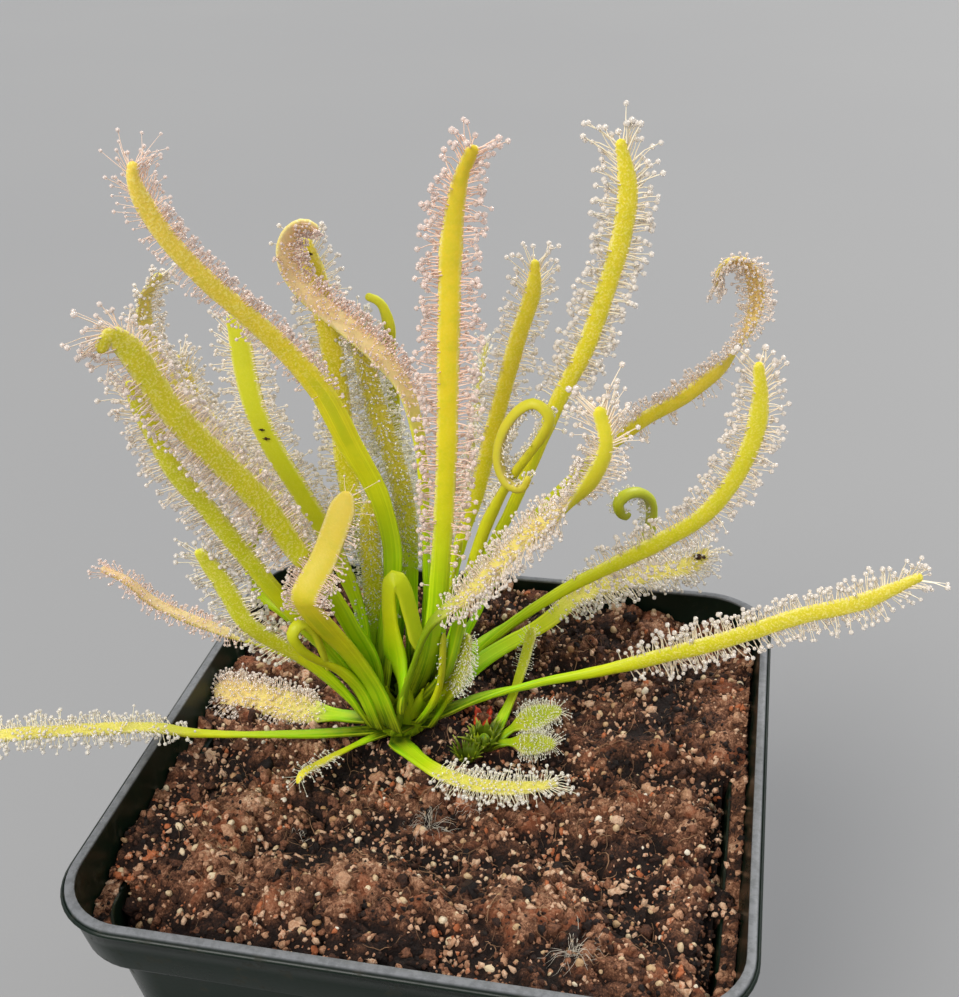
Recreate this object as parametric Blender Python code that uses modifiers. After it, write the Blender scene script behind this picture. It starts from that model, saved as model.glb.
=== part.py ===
"""Potted sundew: a rosette of sticky strap leaves in a square nursery pot.

Metres, +Z up. The origin is the middle of the pot's flat underside, and the
pot's sides face along X and Y. Every leaf is a separate solid that is seated
on the short crown in the middle of the rosette.
"""
import bpy
import bmesh
from collections import namedtuple
from math import cos, pi, radians, sin, sqrt
from mathutils import Vector

MM = 0.001

# Pot: a thin moulded wall with a lip, an upper band, a ledge and a tapered body.
POT_HEIGHT = 88 * MM
RIM_SIDE = 90 * MM
RIM_CORNER = 10.7 * MM
LIP_REACH = 0.5 * MM
LIP_HEIGHT = 1.0 * MM
BAND_HEIGHT = 8.0 * MM
BAND_DRAFT = 1.2 * MM
LEDGE_WIDTH = 2.3 * MM
LEDGE_DROP = 0.6 * MM
WALL = 1.2 * MM
FOOT_SIDE = 60 * MM
FOOT_CORNER = 7 * MM
FOOT_EDGE = 0.8 * MM
DRAIN_HOLE_RADIUS = 4.5 * MM
DRAIN_HOLE_PLACE = 17 * MM

# Soil: a block that is low round the plant and banked up towards the walls.
SOIL_DEPTH_BELOW_RIM = 9.0 * MM
BANK_HEIGHT = 3.5 * MM
BANK_WIDTH = 3.5 * MM
SOIL_SHOULDER = 1.0 * MM
HOLLOW_HALF = 20 * MM
HOLLOW_CORNER = 8 * MM
HOLLOW_X = -2 * MM
HOLLOW_Y = 6 * MM
CLEARANCE = 0.3 * MM

# Crown: the short stem that carries the leaves, off the pot's middle.
CROWN_X = -12 * MM
CROWN_Y = 12 * MM
CROWN_HEIGHT = 10 * MM
CROWN_FOOT_RADIUS = 5.2 * MM
CROWN_TOP_RADIUS = 2.2 * MM

# Plantlet: a small side shoot with three leaves, right of the crown.
PLANTLET_X = 14 * MM
PLANTLET_Y = -3 * MM
PLANTLET_HEIGHT = 3 * MM
PLANTLET_RADIUS = 1.6 * MM

# Leaves.
LEAF_THICKNESS = 0.9 * MM
BASE_WIDTH = 1.8 * MM
STATION_SPACING = 3.6 * MM
SEAT_GAP = 0.45 * MM

RIM_SEGMENTS = 5
SOIL_Z = POT_HEIGHT - SOIL_DEPTH_BELOW_RIM

# One row per leaf, lengths in millimetres and angles in degrees:
#   seat        compass direction and height of the leaf's base on the crown
#   turn, bend  the way the leaf heads, seen from above, and how far that swings by its tip
#   run         side profile: (out, up) points from the seat to the tip
#   stalk, blade, blade_from   widths, and where along its length the blade begins
#   roll        how far the blade is twisted about its own length
#   drift       how far the tip is carried sideways, to its left when positive
Leaf = namedtuple("Leaf", "name seat turn bend run stalk blade blade_from roll drift", defaults=(0,))

LEAVES = [
    Leaf("leaf_tallest", (328, 8), 325, 0,
         [(0, 0), (4.5, 11), (7.5, 27), (10, 46), (11.5, 64), (13, 77), (15, 84), (17.5, 88)],
         2.8, 2.95, 0.35, -40),
    Leaf("leaf_tall_left", (222, 8), 221, 0,
         [(0, 0), (-2, 10), (-4, 24), (-2.5, 34), (1, 43), (5, 53), (11, 62), (18, 70.5),
          (23, 78), (25.5, 85), (25.2, 87)],
         3.0, 2.1, 0.6, 60),
    Leaf("leaf_curled_left", (40, 8), 200, 0,
         [(0, 0), (-1.4, 14), (-1.9, 28), (-1.9, 37), (-1.5, 43), (0, 50), (2.4, 54.2), (7, 59.5),
          (11.2, 63.7), (13.8, 67.3), (14.6, 70.6), (13.8, 73.2), (11.7, 74.5), (10, 73.6)],
         2.0, 3.0, 0.55, -15),
    Leaf("leaf_back", (85, 8), 190, 0,
         [(0, 0), (-0.8, 8), (-1.3, 20), (-1.2, 28), (-0.2, 36), (1.2, 42), (2.3, 46.7), (3, 51.3),
          (3.6, 56), (4.2, 60)],
         2.2, 2.4, 0.4, 50),
    Leaf("leaf_back_left", (140, 8), 185, 0,
         [(0, 0), (0, 10), (1.4, 21), (3.3, 35), (3.5, 48), (4.2, 58.5), (5.5, 67), (6.2, 71.5)],
         2.4, 2.6, 0.35, 60),
    Leaf("leaf_hooked_back", (112, 6), 190, 0,
         [(0, 0), (-1.8, 16.5), (-2, 32), (-2.2, 47.7), (-2.1, 56), (-2.1, 60), (-1, 62.8), (0.9, 63.7)],
         1.4, 1.8, 0.5, 20, -3),
    Leaf("leaf_inner", (172, 9), 190, 0,
         [(0, 0), (-0.4, 6), (-0.5, 12), (-0.3, 21), (-0.6, 28), (-1.3, 32)],
         1.8, 2.4, 0.3, -80),
    Leaf("leaf_looped", (343, 7), 350, 0,
         [(0, 0), (4.3, 6.4), (7.6, 18), (10.2, 28), (12.8, 35.5), (17, 43.7), (21.5, 50.8),
          (22.4, 53.4), (20.8, 55), (18.6, 53.8), (16.8, 51.2), (15.8, 48.2), (15.9, 45.3),
          (17.2, 43.2), (19, 43), (20, 45)],
         1.8, 1.5, 0.5, 0, -5),
    Leaf("leaf_tall_right", (5, 6), 8, 0,
         [(0, 0), (2.2, 6), (5.6, 16), (8.7, 23.3), (13, 32), (17, 41.8), (20.6, 51), (24.5, 59.4),
          (26.7, 66.5), (28.6, 73.3), (29.4, 79.2), (29.3, 82), (28.3, 87)],
         2.0, 2.6, 0.6, -80),
    Leaf("leaf_mid_right", (33, 5), 15, 0,
         [(0, 0), (2.6, 13.6), (6.1, 28), (8.3, 34.6), (11.7, 47.5), (15, 59.6), (17.2, 66.7), (17.5, 71)],
         1.9, 2.3, 0.45, -80),
    Leaf("leaf_side_left", (183, 5), 185, 0,
         [(0, 0), (0, 8), (0.8, 16), (4.5, 28.7), (8.2, 37), (11.3, 43.6), (13.5, 50), (14.2, 56),
          (14.6, 61.3), (15.4, 64.3)],
         3.0, 2.9, 0.45, 80),
    Leaf("leaf_broad_left", (235, 5), 229, 0,
         [(0, 0), (0.5, 10), (3.4, 17.5), (6.9, 26), (11.4, 34.6), (15.4, 43.3), (20.3, 51),
          (24.4, 57.4), (27, 62.4), (28.8, 67), (30.3, 70), (32, 71.7), (33.7, 70)],
         2.4, 2.6, 0.4, 80),
    Leaf("leaf_rear_left", (199, 4), 186, 0,
         [(0, 0), (4, 8), (8.7, 14), (12.3, 17.7), (15.6, 20.8), (16.6, 25), (16, 29), (14.2, 33),
          (15.2, 39.5), (19.5, 46), (23, 52), (25, 57.4), (26.6, 64), (26, 68.4), (23.4, 71.8)],
         1.8, 2.6, 0.5, 50),
    Leaf("leaf_rear_fuzzy", (154, 7), 172, 0,
         [(0, 0), (4, 8.5), (8.8, 17), (13, 27.2), (17.4, 33.5), (22.6, 39.4), (27, 45.5), (28.7, 52.6)],
         2.0, 2.8, 0.45, -20),
    Leaf("bud_hairpin_front", (290, 8), 13, 0,
         [(0, 0), (-0.6, 8), (-1.5, 17), (-0.4, 22), (2, 22.3), (4.2, 17.5), (6, 11)],
         2.4, 1.8, 0.3, 0),
    Leaf("leaf_behind_tallest", (60, 6), 50, 0,
         [(0, 0), (4.5, 8), (8, 20), (10.2, 29.4), (12.2, 39), (14, 48.4), (15.4, 54)],
         1.8, 2.0, 0.4, 0),
    Leaf("leaf_kinked_front", (255, 4), 235, 0,
         [(0, 0), (2, 8), (5, 15), (9, 22), (12, 27.5), (12.3, 29), (8.2, 33.8), (4.3, 40.3)],
         3.8, 4.0, 0.6, 30),
    Leaf("leaf_outer_left", (219, 4), 222, 0,
         [(0, 0), (2.5, 7), (10.4, 21.5), (16.9, 34.3), (21.5, 43.9), (24.9, 50.3), (26.7, 56),
          (28.4, 62), (29.1, 64.4)],
         2.4, 2.6, 0.5, 55),
    Leaf("leaf_low_left", (213, 2), 217, 0,
         [(0, 0), (4, 8), (9.8, 16), (14.7, 21.3), (17.3, 24.8), (18.9, 29.6), (20.5, 34.3),
          (22.5, 38.5)],
         1.9, 2.6, 0.45, 45),
    Leaf("leaf_hooked_right", (45, 3), 28, 0,
         [(0, 0), (4, 7.2), (8.8, 15.7), (12.2, 22), (16, 28), (20, 32), (29, 39.5), (35.5, 43.8),
          (42, 46.6), (48.4, 51), (51, 54.6), (52.4, 58), (52.8, 60.7), (51.7, 65), (49.3, 67.2),
          (46.8, 66.9)],
         2.0, 2.8, 0.5, -18),
    Leaf("leaf_s_right", (20, 4), 12, 0,
         [(0, 0), (6.7, 9), (14.5, 15.7), (22.2, 21), (29.7, 25.2), (35.6, 28.6), (41.4, 32.7),
          (45.4, 38.4), (47.8, 45), (48.4, 51), (47.7, 57)],
         1.7, 2.5, 0.45, -80),
    Leaf("leaf_front_right", (275, 3), 342, 0,
         [(0, 0), (3, 11), (7.7, 22.5), (14.6, 30), (19.5, 36.3), (24.3, 42.3), (30.2, 48.3),
          (33.6, 53.5), (35, 58), (33.9, 62.8)],
         1.3, 3.4, 0.4, 40),
    Leaf("leaf_low_right", (36, 1.5), 32, 0,
         [(0, 0), (4, 3.5), (8.6, 6.9), (19, 11), (26, 15), (37, 16), (46, 16), (48.7, 18)],
         2.8, 3.4, 0.5, 25),
    Leaf("leaf_thin_left", (194, 2), 195, 0,
         [(0, 0), (5, 6.5), (9.7, 11.3), (15.5, 15), (21.3, 17.8), (27, 21), (31, 24), (34, 27.7),
          (37.4, 30)],
         1.3, 2.2, 0.5, 12),
    Leaf("leaf_long_left", (222, 1), 218, -6,
         [(0, 0), (5, 1.5), (11.3, 3.5), (26.2, 9.1), (33, 12.5), (40, 14.6), (53, 17.7), (63, 18)],
         1.4, 2.8, 0.5, 0),
    Leaf("leaf_long_right", (5, 2), 4, 0,
         [(0, 0), (7.5, 4.2), (15.4, 7.3), (26.2, 10.6), (35.2, 14), (44, 17.4), (55, 22.6),
          (63.3, 25.6), (71, 30.5)],
         1.8, 2.9, 0.45, -92),
    Leaf("leaf_on_soil_left", (190, 1), 197, -25,
         [(0, 0), (2.6, 0.5), (10.6, 2), (17, 3.5), (23.8, 4)],
         1.6, 3.4, 0.4, -15),
    Leaf("leaf_tiny_left", (240, 1), 232, 20,
         [(0, 0), (6.9, 1), (11.9, 2), (15.8, 2.8), (17, 2)],
         0.9, 1.3, 0.5, 0),
    Leaf("leaf_on_soil_front", (280, 1), 300, 90,
         [(0, 0), (5, 1.5), (12, 1.5), (19, 1.5), (25, 1.5), (30, 1.5)],
         2.3, 3.0, 0.4, 0),
    Leaf("leaf_coiled_back", (65, 3), 48, 0,
         [(0, 0), (8, 3), (16, 5), (29, 7.7), (38, 7.8), (45, 8.4), (48.6, 11.3), (49.4, 15),
          (48.8, 18), (46.4, 20.4), (43.4, 21.2), (41.5, 20.4), (42, 18.4), (44.2, 16.8)],
         1.4, 1.7, 0.5, 0),
    Leaf("bud_hairpin_left", (238, 3), 229, 0,
         [(0, 0), (2.5, 8), (5.5, 13), (10, 18.5), (12.4, 21.5), (12.4, 23.3), (10.8, 22.2), (8, 17.5)],
         2.1, 1.7, 0.4, 0),
    Leaf("bud_straight", (0, 8), 5, 0, [(0, 0), (2.5, 8), (5, 18), (6.9, 27)], 1.6, 1.6, 0.5, 0),
    Leaf("bud_short", (320, 4), 341, 0, [(0, 0), (2.4, 4), (4.2, 9), (5.2, 18)], 1.5, 1.3, 0.5, 0),
    Leaf("leaf_small_fuzzy", (345, 2), 350, 0, [(0, 0), (2.5, 6), (5, 12.5), (6.6, 18.5)],
         1.8, 3.2, 0.2, 60),
]

PLANTLET_LEAVES = [
    Leaf("plantlet_leaf_tall", (60, 1), 68, 0, [(0, 0), (4, 2.5), (8, 7), (11.5, 13)], 1.4, 2.4, 0.5, 0),
    Leaf("plantlet_leaf_right", (20, 1), 24, 0, [(0, 0), (3, 2), (6, 3), (10, 3.5)], 1.0, 3.2, 0.4, 0),
    Leaf("plantlet_leaf_front", (350, 1), 356, 0, [(0, 0), (3, 0.8), (6, 1), (9, 1.5)],
         1.0, 2.9, 0.4, 0),
]


def make_material(name, color, roughness):
    """A plain Principled material."""
    material = bpy.data.materials.new(name)
    material.use_nodes = True
    shader = material.node_tree.nodes["Principled BSDF"]
    shader.inputs["Base Color"].default_value = (*color, 1)
    shader.inputs["Roughness"].default_value = roughness
    shader.inputs["Metallic"].default_value = 0
    return material


def new_collection(name):
    collection = bpy.data.collections.new(name)
    bpy.context.scene.collection.children.link(collection)
    return collection


def add_mesh(bm, name, material, collection):
    """Turn a finished bmesh into a named object."""
    mesh = bpy.data.meshes.new(name)
    bm.to_mesh(mesh)
    bm.free()
    mesh.materials.append(material)
    thing = bpy.data.objects.new(name, mesh)
    collection.objects.link(thing)
    return thing


def loft(rings, name, material, collection):
    """Skin a row of rings that have equal counts of points, with flat ends."""
    bm = bmesh.new()
    rows = [[bm.verts.new(point) for point in ring] for ring in rings]
    count = len(rows[0])
    for low, high in zip(rows, rows[1:]):
        for i in range(count):
            j = (i + 1) % count
            bm.faces.new((low[i], low[j], high[j], high[i]))
    bm.faces.new(list(reversed(rows[0])))
    bm.faces.new(rows[-1])
    bmesh.ops.recalc_face_normals(bm, faces=bm.faces)
    thing = add_mesh(bm, name, material, collection)
    thing.data.shade_smooth()
    thing.data.set_sharp_from_angle(angle=radians(40))
    return thing


def rounded_square(half, corner, z):
    """Points round a square with round corners, at one height."""
    middle = half - corner
    points = []
    for quarter, (x, y) in enumerate([(1, 1), (-1, 1), (-1, -1), (1, -1)]):
        for step in range(RIM_SEGMENTS + 1):
            angle = (quarter + step / RIM_SEGMENTS) * pi / 2
            points.append(Vector((x * middle + corner * cos(angle),
                                  y * middle + corner * sin(angle), z)))
    return points


def body_half(z):
    """Half the outer width of the pot's tapered body at a height."""
    top = RIM_SIDE / 2 - LIP_REACH - BAND_DRAFT - LEDGE_WIDTH
    share = z / (POT_HEIGHT - BAND_HEIGHT)
    return FOOT_SIDE / 2 + (top - FOOT_SIDE / 2) * share


def body_corner(z):
    share = z / (POT_HEIGHT - BAND_HEIGHT)
    return FOOT_CORNER + (RIM_CORNER - 2 * MM - FOOT_CORNER) * share


def build_pot(material, collection, cutters):
    """One wall from the foot up the outside, over the lip and down to the floor."""
    band_half = RIM_SIDE / 2 - LIP_REACH
    ledge_z = POT_HEIGHT - BAND_HEIGHT
    outside = [
        (body_half(0) - FOOT_EDGE, FOOT_CORNER - FOOT_EDGE, 0),
        (body_half(FOOT_EDGE), FOOT_CORNER, FOOT_EDGE),
        (body_half(ledge_z - LEDGE_DROP), body_corner(ledge_z), ledge_z - LEDGE_DROP),
        (band_half - BAND_DRAFT, RIM_CORNER - 1 * MM, ledge_z),
        (band_half, RIM_CORNER - LIP_REACH, POT_HEIGHT - LIP_HEIGHT),
        (RIM_SIDE / 2, RIM_CORNER, POT_HEIGHT - LIP_HEIGHT * 0.9),
        (RIM_SIDE / 2, RIM_CORNER, POT_HEIGHT - LIP_HEIGHT * 0.2),
        (RIM_SIDE / 2 - LIP_REACH * 0.4, RIM_CORNER, POT_HEIGHT),
    ]
    inside = [
        (band_half - WALL * 0.7, RIM_CORNER - WALL, POT_HEIGHT),
        (band_half - WALL, RIM_CORNER - WALL, POT_HEIGHT - LIP_HEIGHT * 0.4),
        (band_half - BAND_DRAFT - WALL, RIM_CORNER - 2 * WALL, ledge_z + WALL),
        (body_half(ledge_z) - WALL, body_corner(ledge_z) - WALL, ledge_z + WALL * 0.5),
        (body_half(2 * WALL) - WALL, FOOT_CORNER - WALL, 2 * WALL),
        (body_half(WALL) - 2 * WALL, FOOT_CORNER - 2 * WALL, WALL),
    ]
    rings = [rounded_square(half, corner, z) for half, corner, z in outside + inside]
    pot = loft(rings, "pot", material, collection)
    for x in (-1, 1):
        for y in (-1, 1):
            add_drain_hole(pot, x * DRAIN_HOLE_PLACE, y * DRAIN_HOLE_PLACE, cutters)
    return pot


def add_drain_hole(pot, x, y, cutters):
    """Cut one round hole through the floor."""
    bm = bmesh.new()
    bmesh.ops.create_cone(bm, cap_ends=True, segments=20, radius1=DRAIN_HOLE_RADIUS,
                          radius2=DRAIN_HOLE_RADIUS, depth=6 * WALL)
    bmesh.ops.translate(bm, verts=bm.verts, vec=(x, y, 0))
    mesh = bpy.data.meshes.new("drain_cutter")
    bm.to_mesh(mesh)
    bm.free()
    cutter = bpy.data.objects.new("drain_cutter", mesh)
    cutter.hide_render = True
    cutter.display_type = "WIRE"
    cutters.objects.link(cutter)
    cut = pot.modifiers.new("drain hole", "BOOLEAN")
    cut.operation = "DIFFERENCE"
    cut.solver = "EXACT"
    cut.object = cutter


def soil_half(z):
    """Half the width of the soil block, just clear of the pot's inner wall."""
    return body_half(z) - WALL - CLEARANCE


def build_soil(material, collection):
    """A tapered block with a round shoulder, whose top sinks to a hollow round the plant."""
    foot_z = WALL + CLEARANCE
    step_z = 2 * WALL + CLEARANCE
    neck_z = SOIL_Z - 1.5 * MM
    neck, corner = soil_half(neck_z), body_corner(neck_z) - WALL
    bank_z = SOIL_Z + BANK_HEIGHT
    levels = [
        (soil_half(foot_z) - WALL, body_corner(foot_z) - 2.2 * WALL, foot_z),
        (soil_half(step_z), body_corner(step_z) - WALL, step_z),
        (neck, corner, neck_z),
        (neck, corner, bank_z - SOIL_SHOULDER),
        (neck - SOIL_SHOULDER * 0.3, corner, bank_z - SOIL_SHOULDER * 0.3),
        (neck - SOIL_SHOULDER, corner, bank_z),
        (neck - BANK_WIDTH, corner, bank_z),
    ]
    rings = [rounded_square(*level) for level in levels]
    hollow = rounded_square(HOLLOW_HALF, HOLLOW_CORNER, SOIL_Z)
    rings.append([point + Vector((HOLLOW_X, HOLLOW_Y, 0)) for point in hollow])
    return loft(rings, "soil", material, collection)


def crown_radius(height):
    share = height / CROWN_HEIGHT
    return CROWN_FOOT_RADIUS + (CROWN_TOP_RADIUS - CROWN_FOOT_RADIUS) * share


def build_stub(name, x, y, foot, top, height, material, collection):
    """A short upright cone that stands on the soil and carries leaves."""
    bm = bmesh.new()
    bmesh.ops.create_cone(bm, cap_ends=True, segments=16, radius1=foot, radius2=top, depth=height)
    bmesh.ops.translate(bm, verts=bm.verts, vec=(x, y, SOIL_Z + CLEARANCE + height / 2))
    stub = add_mesh(bm, name, material, collection)
    edge = stub.modifiers.new("round top", "BEVEL")
    edge.width = 0.5 * MM
    edge.segments = 2
    edge.limit_method = "ANGLE"
    edge.angle_limit = radians(50)
    stub.data.shade_smooth()
    stub.data.set_sharp_from_angle(angle=radians(40))
    return stub


def smooth_through(points, steps=12):
    """A centripetal Catmull-Rom curve through a list of points."""
    points = [Vector(p) for p in points]
    points = [2 * points[0] - points[1]] + points + [2 * points[-1] - points[-2]]
    curve = []
    for p0, p1, p2, p3 in zip(points, points[1:], points[2:], points[3:]):
        t1 = sqrt((p1 - p0).length)
        t2 = t1 + sqrt((p2 - p1).length)
        t3 = t2 + sqrt((p3 - p2).length)
        for step in range(steps):
            t = t1 + (t2 - t1) * step / steps
            a1 = p0.lerp(p1, t / t1)
            a2 = p1.lerp(p2, (t - t1) / (t2 - t1))
            a3 = p2.lerp(p3, (t - t2) / (t3 - t2))
            b1 = a1.lerp(a2, t / t2)
            b2 = a2.lerp(a3, (t - t1) / (t3 - t1))
            curve.append(b1.lerp(b2, (t - t1) / (t2 - t1)))
    return curve + [points[-2]]


def even_points(curve, count):
    """Points at equal distances along a curve, ends included."""
    marks = [0]
    for a, b in zip(curve, curve[1:]):
        marks.append(marks[-1] + (b - a).length)
    places = []
    k = 0
    for i in range(count):
        want = marks[-1] * i / (count - 1)
        while k < len(marks) - 2 and marks[k + 1] < want:
            k += 1
        share = (want - marks[k]) / (marks[k + 1] - marks[k])
        places.append(curve[k].lerp(curve[k + 1], share))
    return places, marks[-1]


def ease(x):
    """Smooth step from 0 to 1."""
    x = min(max(x, 0), 1)
    return x * x * (3 - 2 * x)


def leaf_width(leaf, u):
    """Width at a share of the leaf's length: narrow base, stalk, blade, round tip."""
    width = leaf.stalk + (leaf.blade - leaf.stalk) * ease((u - leaf.blade_from) / 0.15 + 0.5)
    base = min(leaf.stalk * MM, BASE_WIDTH) / (leaf.stalk * MM)
    width *= base + (1 - base) * ease(u / 0.15)
    if u > 0.94:
        width *= sqrt(max(1 - ((u - 0.94) / 0.06) ** 2 * 0.85, 0))
    return width * MM


def leaf_frames(leaf, centre, radius_at, count):
    """Stations along a leaf: its middle, the way across it, the way off its upper face."""
    profile, length = even_points(smooth_through(leaf.run), count)
    reach = max(abs(out) for out, up in leaf.run)
    direction, height = radians(leaf.seat[0]), leaf.seat[1] * MM
    spin = radians(leaf.turn) - direction
    radius = (radius_at(height) + SEAT_GAP + abs(cos(spin)) * LEAF_THICKNESS / 2
              + abs(sin(spin)) * leaf_width(leaf, 0) / 2)
    place = Vector((centre[0] + radius * cos(direction), centre[1] + radius * sin(direction), 0))
    middles, sides = [], []
    last_out = 0
    for i, (out, up) in enumerate(profile):
        heading = radians(leaf.turn + leaf.bend * out / reach)
        ahead = Vector((cos(heading), sin(heading), 0))
        left = Vector((-ahead.y, ahead.x, 0))
        place = place + ahead * (out - last_out) * MM
        last_out = out
        middles.append(place + left * leaf.drift * MM * i / (count - 1)
                       + Vector((0, 0, SOIL_Z + height + up * MM)))
        sides.append(left)
    frames = []
    for i, (middle, side) in enumerate(zip(middles, sides)):
        along = (middles[min(i + 1, count - 1)] - middles[max(i - 1, 0)]).normalized()
        face = along.cross(side).normalized()
        side = face.cross(along)
        roll = radians(leaf.roll) * ease(i / (count - 1) / leaf.blade_from)
        frames.append((middle, side * cos(roll) + face * sin(roll),
                       face * cos(roll) - side * sin(roll)))
    return frames, length * MM


def build_leaf(leaf, centre, radius_at, material, collection):
    """A strap with a six-sided section, lofted along the leaf's run."""
    length = leaf_frames(leaf, centre, radius_at, 8)[1]
    count = max(5, round(length / STATION_SPACING))
    rings = []
    for i, (middle, side, face) in enumerate(leaf_frames(leaf, centre, radius_at, count)[0]):
        half = leaf_width(leaf, i / (count - 1)) / 2
        thick = min(LEAF_THICKNESS, 1.4 * half) / 2
        corners = [(1, 0), (0.5, 1), (-0.5, 1), (-1, 0), (-0.5, -1), (0.5, -1)]
        rings.append([middle + side * half * a + face * thick * b for a, b in corners])
    return loft(rings, leaf.name, material, collection)


def main():
    for thing in list(bpy.data.objects):
        bpy.data.objects.remove(thing, do_unlink=True)
    parts = new_collection("potted_sundew")
    cutters = new_collection("cutters")

    plastic = make_material("pot_plastic", (0.012, 0.03, 0.018), 0.3)
    peat = make_material("peat_soil", (0.1, 0.045, 0.025), 0.9)
    green = make_material("crown_green", (0.16, 0.28, 0.02), 0.5)
    lime = make_material("leaf_lime", (0.5, 0.55, 0.03), 0.4)

    build_pot(plastic, parts, cutters)
    build_soil(peat, parts)
    build_stub("crown", CROWN_X, CROWN_Y, CROWN_FOOT_RADIUS, CROWN_TOP_RADIUS, CROWN_HEIGHT,
               green, parts)
    build_stub("plantlet_crown", PLANTLET_X + CROWN_X, PLANTLET_Y + CROWN_Y, PLANTLET_RADIUS,
               PLANTLET_RADIUS * 0.7, PLANTLET_HEIGHT, green, parts)
    for leaf in LEAVES:
        build_leaf(leaf, (CROWN_X, CROWN_Y), crown_radius, lime, parts)
    plantlet = (PLANTLET_X + CROWN_X, PLANTLET_Y + CROWN_Y)
    for leaf in PLANTLET_LEAVES:
        build_leaf(leaf, plantlet, lambda height: PLANTLET_RADIUS, lime, parts)


main()
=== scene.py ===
# %% [markdown]
# # A potted sundew
# This lesson dresses a plain engineering model of a sundew in its nursery pot.
# The model fixes where every leaf, the soil and the pot are. The cells below
# give each of them its true skin: channelled leaves, thousands of sticky gland
# hairs, crumbly peat and moulded plastic. The first cell loads that model and
# notes its size, so that the last one can compare.

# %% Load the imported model
from collections import namedtuple
from math import cos, exp, pi, radians, sin, sqrt

import bmesh
import bpy
from mathutils import Matrix, Vector, noise


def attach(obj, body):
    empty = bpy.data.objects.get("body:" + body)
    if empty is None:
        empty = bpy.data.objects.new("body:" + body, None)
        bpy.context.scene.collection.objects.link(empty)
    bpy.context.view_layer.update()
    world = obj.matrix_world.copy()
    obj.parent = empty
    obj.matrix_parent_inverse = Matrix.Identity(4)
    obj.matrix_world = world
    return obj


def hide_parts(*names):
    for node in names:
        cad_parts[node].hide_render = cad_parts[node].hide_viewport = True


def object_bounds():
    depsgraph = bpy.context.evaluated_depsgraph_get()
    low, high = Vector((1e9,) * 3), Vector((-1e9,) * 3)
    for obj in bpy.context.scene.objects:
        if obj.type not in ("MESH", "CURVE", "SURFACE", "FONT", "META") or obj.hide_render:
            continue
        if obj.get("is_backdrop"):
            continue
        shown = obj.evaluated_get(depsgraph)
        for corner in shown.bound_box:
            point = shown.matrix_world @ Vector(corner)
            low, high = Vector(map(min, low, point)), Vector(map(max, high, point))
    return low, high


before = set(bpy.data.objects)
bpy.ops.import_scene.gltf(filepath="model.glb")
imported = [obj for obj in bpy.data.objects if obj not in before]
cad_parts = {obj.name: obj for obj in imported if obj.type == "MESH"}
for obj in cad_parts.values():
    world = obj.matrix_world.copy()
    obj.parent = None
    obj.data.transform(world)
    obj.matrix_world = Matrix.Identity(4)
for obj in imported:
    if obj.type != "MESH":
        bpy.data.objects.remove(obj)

MM = 0.001
CAD_BOX = [list(corner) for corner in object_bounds()]
print("nodes:", len(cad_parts), "box in mm:",
      [round((high - low) / MM, 1) for low, high in zip(*CAD_BOX)])

# %% [markdown]
# ## Node trees as expressions
# Materials and Geometry Nodes are both graphs. Clicking them together is slow
# and reading them back is slower, so a small class wraps a socket and lets
# Python's own operators add the Math nodes. Anything that isn't arithmetic
# comes from the one `node` method, which takes the node's type, its settings
# and what its sockets get.

# %% A socket that can be added and multiplied
class Wire:
    """A node's output socket, with Python's arithmetic on it."""

    def __init__(self, tree, socket):
        self.tree = tree
        self.socket = socket


def operator(operation, reflected=False):
    """An operator's method: it adds one Math node."""
    def method(wire, other):
        a, b = (other, wire) if reflected else (wire, other)
        return wire.tree.math(operation, a, b)
    return method


SIGNS = {"add": "ADD", "sub": "SUBTRACT", "mul": "MULTIPLY", "truediv": "DIVIDE", "pow": "POWER"}
for sign, operation in SIGNS.items():
    setattr(Wire, f"__{sign}__", operator(operation))
    setattr(Wire, f"__r{sign}__", operator(operation, reflected=True))
print("operators:", *SIGNS)

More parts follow.
